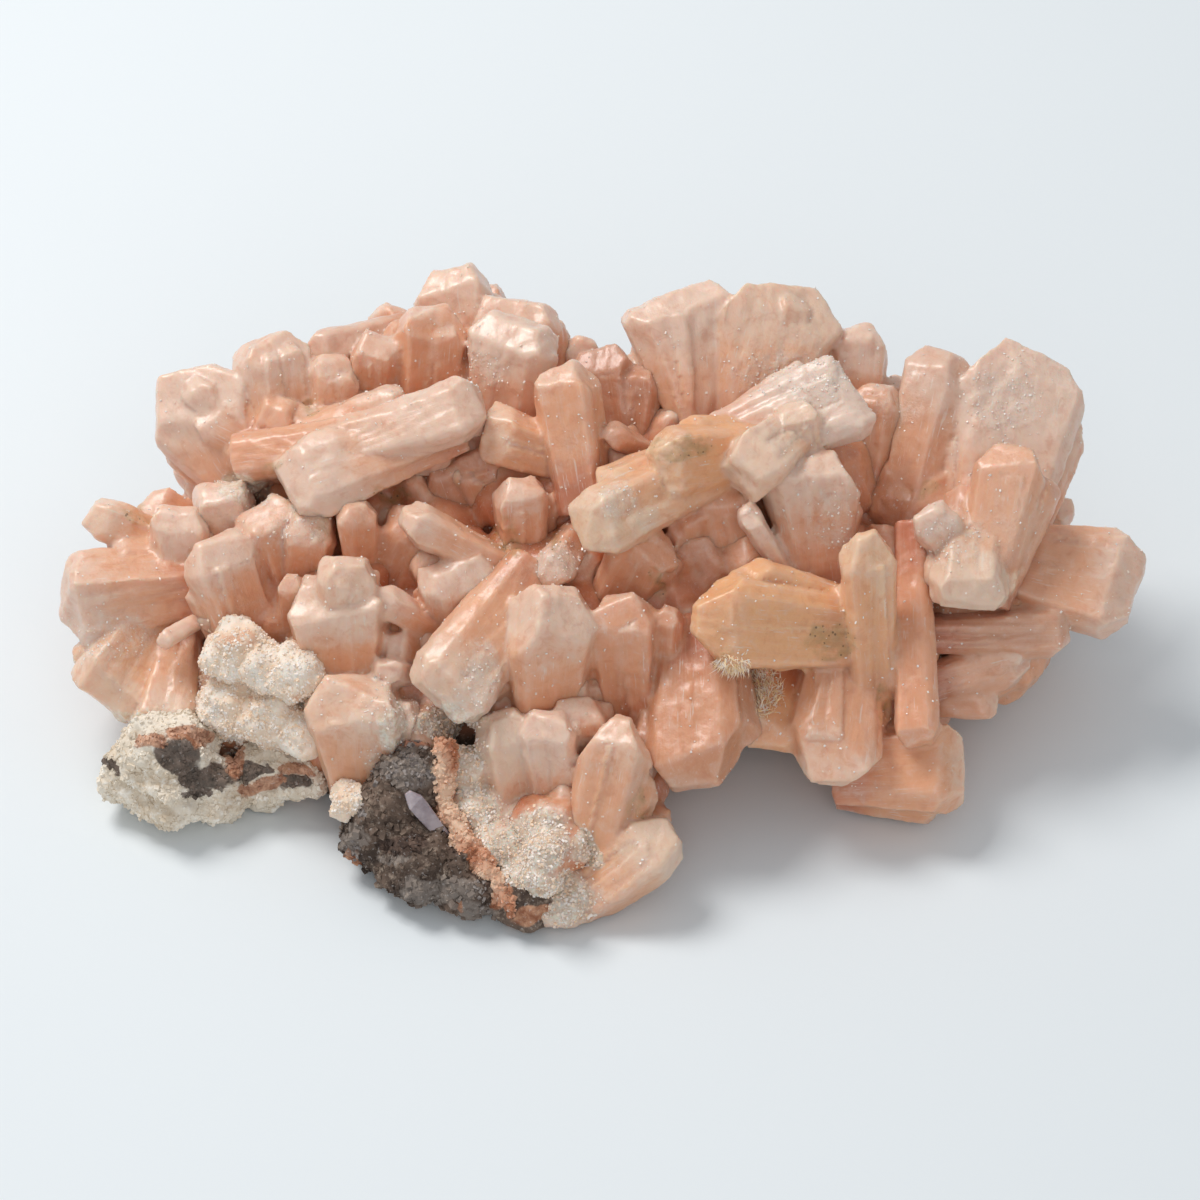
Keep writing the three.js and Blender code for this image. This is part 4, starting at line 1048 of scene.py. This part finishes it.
def finish_piece(piece, material, slot, *nodes):
    """Gives a piece its material and its body, and hides the solids that it stands for. The slot is not
    used.
    """
    piece.data.materials.clear()
    piece.data.materials.append(material)
    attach(piece, "root")
    if nodes:
        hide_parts(*nodes)


salmon_stilbite = stilbite("salmon stilbite", 0.85)
pale_stilbite = stilbite("pale stilbite", 0.5)

sheaf_pieces = []
for name, forms in {**SHEAVES, **BACK_SHEAVES}.items():
    masses = {**ROOT_MASSES, **BACK_MASSES}[name]
    piece = sheaf(name + "_crystals", forms, masses, name == CRUSTED_SHEAF)
    pale_slot = name in PALE_SLOT_SHEAVES
    finish_piece(
        piece,
        pale_stilbite if pale_slot else salmon_stilbite,
        "pale_stilbite" if pale_slot else "stilbite",
        name,
    )
    sheaf_pieces.append(piece)

# The small crystals that line the gaps between the large ones, rooted on the stone.
STONE_MIDDLE = (-10, 4)
STONE_REACH = [64, 59, 46, 37, 35, 39, 50, 64, 68, 55, 36, 47, 51, 40, 26, 35]
STONE_DEPTH_BELOW_TIPS = 13.5
STONE_EDGE_DROP = 9
BARE_STONE = {"middle": (425, 835), "reach": (118, 100)}
LINING_STEP = 7.5
LINING_SWELL = 4.8


def bareness(points):
    """1 where the front of the stone lies bare in the picture, 0 elsewhere."""
    column, row = pictured(points)
    across = (column - BARE_STONE["middle"][0]) / BARE_STONE["reach"][0]
    down = (row - BARE_STONE["middle"][1]) / BARE_STONE["reach"][1]
    return 1 - smooth_step(0.8, 1.0, np.hypot(across, down))


def lining_crystals():
    """Small crystals on a loose grid over the stone, which lean outwards."""
    generator = random.Random(77)
    members = []
    reach_turns = np.linspace(0, 2 * math.pi, len(STONE_REACH) + 1)
    reaches = np.array(STONE_REACH + STONE_REACH[:1])
    for x in np.arange(-84, 84, LINING_STEP):
        for y in np.arange(-48, 60, LINING_STEP):
            x_here = x + generator.uniform(-2.4, 2.4)
            y_here = y + generator.uniform(-2.4, 2.4)
            turn = math.atan2(y_here - STONE_MIDDLE[1], x_here - STONE_MIDDLE[0]) % (2 * math.pi)
            distance = math.hypot(x_here - STONE_MIDDLE[0], y_here - STONE_MIDDLE[1])
            share = distance / np.interp(turn, reach_turns, reaches)
            if share > 0.98:
                continue
            depth = STONE_DEPTH_BELOW_TIPS + STONE_EDGE_DROP * share ** 3
            height = max(5, cover_above(x_here, y_here) - depth)
            root = np.array([x_here, y_here, height - 1.5])
            if bareness(root[None, :])[0] > 0.1:
                continue
            outward = np.array([math.cos(turn), math.sin(turn), 0]) * share
            toward = np.array([0, -0.25, 1.0]) + outward * 0.7
            toward = toward + np.array([generator.uniform(-0.55, 0.55) for _ in range(3)])
            toward = toward / np.linalg.norm(toward)
            tip = root + toward * generator.uniform(10, 15)
            form = small_form(
                generator, wide=(6, 11), thick=(4, 7), end=0.55, taper=0.75, roll=50,
                pale=(0.1, 0.45), tone=(-0.25, 0.1),
            )
            members.append(Crystal(tip, root, form, len(members) + 900))
            swollen = np.array([x_here, y_here, height + LINING_SWELL])
            # The swelling under each lining crystal takes mostly the deep root colour: painted shade in
            # the gaps between the large crystals.
            members.append(RootMass(swollen, (5.5, 5.5, 5), len(members), 0.05, 0.7))
    return fused("lining_crystals", members, LINING_VOXEL, 7)


lining = lining_crystals()
finish_piece(lining, salmon_stilbite, "stilbite")

# Stains and darker patches on the stones, by their middle and reach in the picture. On the pale rock the
# dark patches are a darker band just under the crystals; on the basalt they are painted shade in and
# beside the vug hollow.
PALE_ROCK_PATCHES = {
    "dark": [
        ((176, 758), (26, 18)), ((206, 776), (30, 13)), ((248, 772), (26, 7)), ((292, 786), (18, 9)),
        ((114, 765), (5, 9)), ((198, 792), (18, 5)),
    ],
    "rust": [
        ((150, 742), (16, 9)), ((190, 736), (26, 11)), ((232, 762), (14, 16)), ((262, 786), (30, 7)),
        ((292, 772), (20, 8)), ((106, 744), (5, 10)),
    ],
}
BASALT_STAINS_AND_HOLLOW_SHADE = {
    "rust": [
        ((352, 852), (10, 8)), ((540, 918), (34, 9)), ((505, 893), (10, 14)), ((455, 905), (5, 6)),
    ],
    "pale": [
        ((410, 770), (30, 22)), ((352, 840), (14, 14)), ((432, 892), (40, 16)), ((480, 908), (26, 10)),
        ((396, 858), (18, 6)),
    ],
    # Painted shade inside the vug hollow and at its edge.
    "dark": [((462, 812), (26, 44)), ((486, 862), (16, 34)), ((400, 842), (30, 10))],
}


def rough_stone(name, node, voxel, seed, coarse, fine, stains, lined=False):
    """A stone or crust with the solid's form, and broken, grainy faces."""
    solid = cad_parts[node].data
    shape = bmesh.new()
    shape.from_mesh(solid)
    bmesh.ops.remove_doubles(shape, verts=shape.verts, dist=0.002 * MM)
    mesh = bpy.data.meshes.new(name)
    shape.to_mesh(mesh)
    shape.free()
    piece = shown(name, mesh)
    divider = piece.modifiers.new("even", "REMESH")
    divider.mode = "VOXEL"
    divider.voxel_size = voxel * MM
    mesh = plain_mesh(piece, name)
    piece.modifiers.clear()
    piece.data = mesh
    points = points_of(mesh)
    normals = normals_of(mesh)
    broken = 1 - 2 * np.abs(noise_at(points / 4.2, seed))
    relief = coarse * (0.7 * noise_at(points / 7.0, seed + 1) + 0.5 * broken)
    relief += fine * (noise_at(points / 1.9, seed + 2) + 0.7 * noise_at(points / 0.95, seed + 3))
    raised = points[:, 2] > 0.3
    points = points + normals * (relief * smooth_step(0.2, 2.5, points[:, 2]))[:, None]
    points[:, 2] = np.where(raised, np.maximum(points[:, 2], 0.1), points[:, 2])
    set_points(mesh, points)
    for stain in ("dark", "rust", "pale"):
        keep_values(mesh, stain, stain_share(points, stains.get(stain, [])))
    under_crystals = smooth_step(9, 14, points[:, 2]) * (1 - bareness(points)) * (1 if lined else 0)
    keep_values(mesh, "covered", under_crystals)
    mesh.shade_smooth()
    return piece


def stone_material(name, dark, middle, light, sparkle):
    """Broken stone in three tones, with its stains, darker patches, rust and glinting grains; on the
    basalt the darker patches are painted shade of the vug hollow.
    """
    material = painted(name)
    recipe = Recipe(material)
    place = recipe.node("ShaderNodeTexCoord").outputs["Object"]
    clouds = recipe.noise(place, 95, 5, 0.65, 0.4)
    grains = recipe.noise(place, 620, 4, 0.7)
    flecks = recipe.noise(place, 1500, 2, 0.6)
    edge = recipe.maths("MULTIPLY", recipe.maths("SUBTRACT", clouds, 0.5), 1.6)
    colour = recipe.mix(recipe.band(clouds, 0.35, 0.62), dark, middle)
    colour = recipe.mix(recipe.band(grains, 0.5, 0.72), colour, light)
    pale = recipe.band(recipe.maths("ADD", recipe.attribute("pale"), edge), 0.35, 0.8)
    colour = recipe.mix(recipe.maths("MULTIPLY", pale, 0.45), colour, srgb(166, 156, 148))
    # Darker patches: on the basalt painted shade in the vug hollow, on the pale rock a darker band under
    # the crystals.
    stain = recipe.band(recipe.maths("ADD", recipe.attribute("dark"), edge), 0.4, 0.75)
    dark_grain = recipe.mix(recipe.band(grains, 0.35, 0.7), srgb(58, 44, 38), srgb(112, 90, 78))
    colour = recipe.mix(recipe.maths("MULTIPLY", stain, 0.9), colour, dark_grain)
    rust = recipe.band(recipe.maths("ADD", recipe.attribute("rust"), edge), 0.4, 0.8)
    rusty = recipe.mix(recipe.band(grains, 0.3, 0.7), srgb(150, 88, 58), srgb(216, 164, 130))
    colour = recipe.mix(recipe.maths("MULTIPLY", rust, 0.85), colour, rusty)
    covered = recipe.maths("ADD", recipe.attribute("covered"), recipe.maths("MULTIPLY", edge, 0.3))
    crust = recipe.mix(clouds, srgb(150, 88, 60), srgb(212, 158, 132))
    colour = recipe.mix(recipe.band(covered, 0.3, 0.7), colour, crust)
    glint = recipe.maths("MULTIPLY", recipe.band(flecks, 0.62, 0.7), sparkle)
    colour = recipe.mix(recipe.maths("MULTIPLY", glint, 0.6), colour, srgb(222, 216, 212))
    roughness = recipe.maths("SUBTRACT", 0.85, recipe.maths("MULTIPLY", glint, 0.6))
    normal = recipe.bump(clouds, 0.5, 0.0012)
    normal = recipe.bump(grains, 0.7, 0.0005, normal)
    normal = recipe.bump(flecks, 0.4, 0.0002, normal)
    recipe.surface(colour, roughness, normal, 0.0, 0.001, specular=0.4)
    return material


dark_stone = stone_material(
    "pitted basalt", srgb(60, 47, 40), srgb(116, 97, 84), srgb(166, 148, 132), 0.5)
pale_stone = stone_material(
    "pale granular stone", srgb(220, 204, 182), srgb(240, 230, 214), srgb(250, 245, 236), 0.5)
basalt = rough_stone("basalt_stone", "basalt_matrix", 0.85, 5, 0.9, 0.4, BASALT_STAINS_AND_HOLLOW_SHADE, lined=True)
finish_piece(basalt, dark_stone, "basalt", "basalt_matrix")
pale_rock = rough_stone("granular_rock", "pale_rock", 0.5, 11, 1.1, 0.45, PALE_ROCK_PATCHES)
finish_piece(pale_rock, pale_stone, "pale_rock", "pale_rock")


def crust_material(name, base, light, shadow, glow):
    """Fine-grained crystal crust: sugary, with painted light on its raised grains and painted warmer
    shade in its hollows.
    """
    material = painted(name)
    recipe = Recipe(material)
    place = recipe.node("ShaderNodeTexCoord").outputs["Object"]
    clouds = recipe.noise(place, 150, 4, 0.6)
    sugar = recipe.noise(place, 1300, 3, 0.7)
    # Painted light on the raised grains and painted shade in the hollows of the bump.
    colour = recipe.mix(recipe.band(clouds, 0.4, 0.62), base, light)
    colour = recipe.mix(recipe.band(clouds, 0.42, 0.3), colour, shadow)
    glint = recipe.band(sugar, 0.6, 0.68)
    colour = recipe.mix(recipe.maths("MULTIPLY", glint, 0.6), colour, srgb(244, 238, 232))
    roughness = recipe.maths("SUBTRACT", 0.62, recipe.maths("MULTIPLY", glint, 0.35))
    normal = recipe.bump(clouds, 0.4, 0.001)
    normal = recipe.bump(sugar, 0.6, 0.0004, normal)
    recipe.surface(colour, roughness, normal, glow, 0.0006)
    return material


def glassy_material(name, tint, light):
    """Smooth, clouded crystal with a glassy skin."""
    material = painted(name)
    recipe = Recipe(material)
    place = recipe.node("ShaderNodeTexCoord").outputs["Object"]
    cloud = recipe.noise(place, 260, 4, 0.6)
    colour = recipe.mix(recipe.band(cloud, 0.35, 0.65), tint, light)
    normal = recipe.bump(recipe.noise(recipe.stretched(place, (1, 1, 0.15)), 1800, 3, 0.6), 0.2, 0.0002)
    recipe.surface(colour, 0.2, normal, 0.3, 0.0006, coat=0.3)
    return material


lilac_glass = glassy_material("grey lilac crystal", srgb(148, 134, 140), srgb(186, 174, 178))
prism = rough_stone("vug_prism_crystal", "vug_prism", 0.2, 31, 0.06, 0.04, {})
finish_piece(prism, lilac_glass, "vug_crystal", "vug_prism")

white_crust = crust_material(
    "white crystal crust", srgb(236, 212, 188), srgb(246, 234, 220), srgb(220, 172, 142), 0.2)
pink_crust = crust_material(
    "orange pink rind", srgb(214, 158, 126), srgb(234, 198, 170), srgb(172, 108, 74), 0.2)
druse = rough_stone("white_druse_crust", "white_druse", 0.45, 17, 1.0, 0.4, {})
finish_piece(druse, white_crust, "white_druse", "white_druse")
ball = rough_stone("druse_ball_crust", "druse_ball", 0.3, 23, 0.4, 0.25, {})
finish_piece(ball, white_crust, "white_druse", "druse_ball")
rind = rough_stone("rind_layer", "pink_rind", 0.3, 29, 0.6, 0.3, {})
finish_piece(rind, pink_crust, "rind", "pink_rind")


def scatter_tree(name, needles):
    """Strews small crystals over a surface, thick where grain_zone is 1. Blocks, or upright needles."""
    tree = bpy.data.node_groups.new(name, "GeometryNodeTree")
    tree.interface.new_socket("Geometry", in_out="INPUT", socket_type="NodeSocketGeometry")
    for label in ("Grains per square metre", "Smallest", "Largest"):
        tree.interface.new_socket(label, in_out="INPUT", socket_type="NodeSocketFloat")
    tree.interface.new_socket("Seed", in_out="INPUT", socket_type="NodeSocketInt")
    tree.interface.new_socket("Material", in_out="INPUT", socket_type="NodeSocketMaterial")
    tree.interface.new_socket("Geometry", in_out="OUTPUT", socket_type="NodeSocketGeometry")
    add = tree.nodes.new
    link = tree.links.new
    given = add("NodeGroupInput")
    zone = add("GeometryNodeInputNamedAttribute")
    zone.data_type = "FLOAT"
    zone.inputs["Name"].default_value = "grain_zone"
    thickness = add("ShaderNodeMath")
    thickness.operation = "MULTIPLY"
    link(given.outputs["Grains per square metre"], thickness.inputs[0])
    link(zone.outputs["Attribute"], thickness.inputs[1])
    points = add("GeometryNodeDistributePointsOnFaces")
    link(given.outputs["Geometry"], points.inputs["Mesh"])
    link(thickness.outputs[0], points.inputs["Density"])
    link(given.outputs["Seed"], points.inputs["Seed"])
    swing = add("FunctionNodeRandomValue")
    swing.data_type = "FLOAT_VECTOR"
    reach = 0.7 if needles else math.pi
    swing.inputs[0].default_value = (-reach,) * 3
    swing.inputs[1].default_value = (reach,) * 3
    euler = add("FunctionNodeEulerToRotation")
    link(swing.outputs[0], euler.inputs[0])
    turn = add("FunctionNodeRotateRotation")
    turn.rotation_space = "LOCAL"
    link(points.outputs["Rotation"], turn.inputs[0])
    link(euler.outputs[0], turn.inputs[1])
    size = add("FunctionNodeRandomValue")
    size.data_type = "FLOAT"
    link(given.outputs["Smallest"], size.inputs[2])
    link(given.outputs["Largest"], size.inputs[3])
    stretch = add("FunctionNodeRandomValue")
    stretch.data_type = "FLOAT_VECTOR"
    stretch.inputs[0].default_value = (0.04, 0.04, 0.7) if needles else (0.5, 0.6, 0.8)
    stretch.inputs[1].default_value = (0.07, 0.07, 1.2) if needles else (1.0, 1.1, 1.5)
    scale = add("ShaderNodeVectorMath")
    scale.operation = "SCALE"
    link(stretch.outputs[0], scale.inputs[0])
    link(size.outputs[1], scale.inputs["Scale"])
    if needles:
        grain = add("GeometryNodeMeshCone")
        grain.inputs["Vertices"].default_value = 4
        grain.inputs["Radius Bottom"].default_value = 1.0
        grain.inputs["Depth"].default_value = 1.0
    else:
        grain = add("GeometryNodeMeshCube")
    copies = add("GeometryNodeInstanceOnPoints")
    link(points.outputs["Points"], copies.inputs["Points"])
    link(grain.outputs["Mesh"], copies.inputs["Instance"])
    link(turn.outputs[0], copies.inputs["Rotation"])
    link(scale.outputs[0], copies.inputs["Scale"])
    real = add("GeometryNodeRealizeInstances")
    link(copies.outputs[0], real.inputs[0])
    paint = add("GeometryNodeSetMaterial")
    link(real.outputs[0], paint.inputs["Geometry"])
    link(given.outputs["Material"], paint.inputs["Material"])
    link(paint.outputs[0], add("NodeGroupOutput").inputs[0])
    return tree


block_tree = scatter_tree("strewn blocks", needles=False)
needle_tree = scatter_tree("strewn needles", needles=True)


def strewn(name, carriers, zone_of, tree, per_mm2, smallest, largest, seed, material, slot):
    """Grains on several pieces, thick where zone_of gives 1, as one piece of their own."""
    whole = bmesh.new()
    for number, carrier in enumerate(carriers):
        mesh = carrier.data.copy()
        points = points_of(mesh)
        keep_values(mesh, "grain_zone", np.clip(zone_of(points, normals_of(mesh)), 0, 1))
        ground = shown(name + "_ground", mesh)
        modifier = ground.modifiers.new("strewn", "NODES")
        modifier.node_group = tree
        values = {
            "Grains per square metre": per_mm2 / MM ** 2, "Smallest": smallest * MM,
            "Largest": largest * MM, "Seed": seed + number, "Material": material,
        }
        for socket in tree.interface.items_tree:
            if socket.in_out == "INPUT" and socket.name in values:
                modifier[socket.identifier] = values[socket.name]
        grains = plain_mesh(ground, name)
        bpy.data.objects.remove(ground)
        whole.from_mesh(grains)
    mesh = bpy.data.meshes.new(name)
    whole.to_mesh(mesh)
    whole.free()
    piece = shown(name, mesh)
    finish_piece(piece, material, slot)
    return piece


def clear_grain_material(name, tint, rough, light=srgb(246, 240, 234)):
    """Glassy little crystals, clouded between their tint and a lighter colour."""
    material = painted(name)
    recipe = Recipe(material)
    place = recipe.node("ShaderNodeTexCoord").outputs["Object"]
    cloud = recipe.noise(place, 900, 2, 0.6)
    colour = recipe.mix(recipe.band(cloud, 0.35, 0.65), tint, light)
    normal = recipe.bump(cloud, 0.2, 0.0001)
    recipe.surface(colour, rough, normal, 0.0, 0.0001, specular=0.35)
    return material


QUARTZ_PLACES = [
    ((410, 768), (30, 20)), ((360, 815), (10, 12)), ((352, 842), (8, 8)), ((478, 896), (14, 10)),
]
NEEDLE_PLACES = [((750, 694), (30, 22)), ((728, 664), (12, 12))]
DRUSE_PLACES = CRUSTED_PLACES + [((262, 690), (80, 70)), ((350, 800), (20, 20))]

# Share of the thickest dusting that lies on every upward face.
THIN_DUST = 0.11

sugar_grain = clear_grain_material("sugar grain", srgb(238, 216, 196), 0.25)
druse_grain = clear_grain_material("druse grain", srgb(242, 214, 184), 0.45)
quartz_grain = clear_grain_material("grey quartz grain", srgb(104, 94, 90), 0.2, srgb(168, 158, 152))
cream_needle = clear_grain_material("cream needle", srgb(252, 226, 176), 0.5)

strewn(
    "sugar_grains", sheaf_pieces,
    lambda points, normals: (
        (THIN_DUST + stain_share(points, DUSTED_PLACES)) * smooth_step(-0.2, 0.5, normals[:, 2])),
    block_tree, 0.8, 0.1, 0.36, 3, sugar_grain, "white_druse")
strewn(
    "crust_grains", [sheaf_pieces[3], druse, ball, lining],
    lambda points, normals: stain_share(points, DRUSE_PLACES),
    block_tree, 2.6, 0.16, 0.5, 5, druse_grain, "white_druse")
strewn(
    "rock_chips", [basalt], lambda points, normals: bareness(points) * (points[:, 2] > 1.5),
    block_tree, 0.8, 0.35, 1.2, 7, dark_stone, "basalt")
strewn(
    "quartz_grains", [basalt], lambda points, normals: stain_share(points, QUARTZ_PLACES),
    block_tree, 1.6, 0.25, 0.8, 9, quartz_grain, "vug_crystal")
strewn(
    "pale_rock_grains", [pale_rock], lambda points, normals: (points[:, 2] > 1.0) * 1.0,
    block_tree, 1.3, 0.25, 0.8, 11, pale_stone, "pale_rock")
strewn(
    "rind_grains", [rind], lambda points, normals: np.ones(len(points)),
    block_tree, 1.6, 0.3, 0.9, 13, pink_crust, "rind")
strewn(
    "cream_needles", [sheaf_pieces[4]],
    lambda points, normals: (
        stain_share(points, NEEDLE_PLACES) * smooth_step(-0.3, 0.3, normals[:, 2] - normals[:, 1])),
    needle_tree, 9.0, 0.8, 2.4, 15, cream_needle, "stilbite")

# The eye of the picture, looking down at 45 degrees.
eye = bpy.data.objects.new("eye", bpy.data.cameras.new("eye"))
eye.data.sensor_width = SENSOR_WIDTH
eye.data.lens = FOCAL_PIXELS * SENSOR_WIDTH / PICTURE_SIZE
eye.data.clip_start = 0.01
eye.data.clip_end = 20
eye.location = Vector(EYE * MM)
eye.rotation_euler = (math.pi / 2 - EYE_ELEVATION, 0, 0)
bpy.context.scene.collection.objects.link(eye)
bpy.context.scene.camera = eye


def floor_material():
    material = painted("pale floor")
    recipe = Recipe(material)
    place = recipe.node("ShaderNodeTexCoord").outputs["Object"]
    cloud = recipe.noise(place, 3, 2, 0.5)
    colour = recipe.mix(cloud, srgb(229, 235, 238), srgb(232, 238, 241))
    normal = recipe.bump(recipe.noise(place, 900, 2, 0.5), 0.03, 0.0002)
    recipe.surface(colour, 0.9, normal, 0.0, 0.001, specular=0.1)
    return material


FLOOR_REACH = 2.5
floor_mesh = bpy.data.meshes.new("floor")
floor_mesh.from_pydata(
    [(-FLOOR_REACH, -FLOOR_REACH, 0), (FLOOR_REACH, -FLOOR_REACH, 0),
     (FLOOR_REACH, FLOOR_REACH, 0), (-FLOOR_REACH, FLOOR_REACH, 0)],
    [], [(0, 1, 2, 3)],
)
floor = shown("floor", floor_mesh)
floor.data.materials.append(floor_material())


def soft_light(name, place, aim, size, power, colour):
    """A square soft light at a place, turned to a point."""
    lamp = bpy.data.lights.new(name, "AREA")
    lamp.shape = "SQUARE"
    lamp.size = size
    lamp.energy = power
    lamp.color = colour
    holder = bpy.data.objects.new(name, lamp)
    holder.location = place
    toward = Vector(aim) - Vector(place)
    holder.rotation_euler = toward.to_track_quat("-Z", "Y").to_euler()
    bpy.context.scene.collection.objects.link(holder)


soft_light("key light", (-0.42, 0.28, 0.8), (0, 0, 0.02), 0.35, 5.4, (1, 0.98, 0.96))
soft_light("front light", (0.1, -0.9, 0.75), (0, 0, 0.02), 0.7, 1.9, (1, 0.99, 0.98))

world = bpy.data.worlds.new("studio")
world.use_nodes = True
backdrop = world.node_tree.nodes["Background"]
backdrop.inputs["Color"].default_value = (0.93, 0.96, 1.0, 1)
backdrop.inputs["Strength"].default_value = 0.47
bpy.context.scene.world = world
bpy.context.scene.view_settings.view_transform = "Standard"
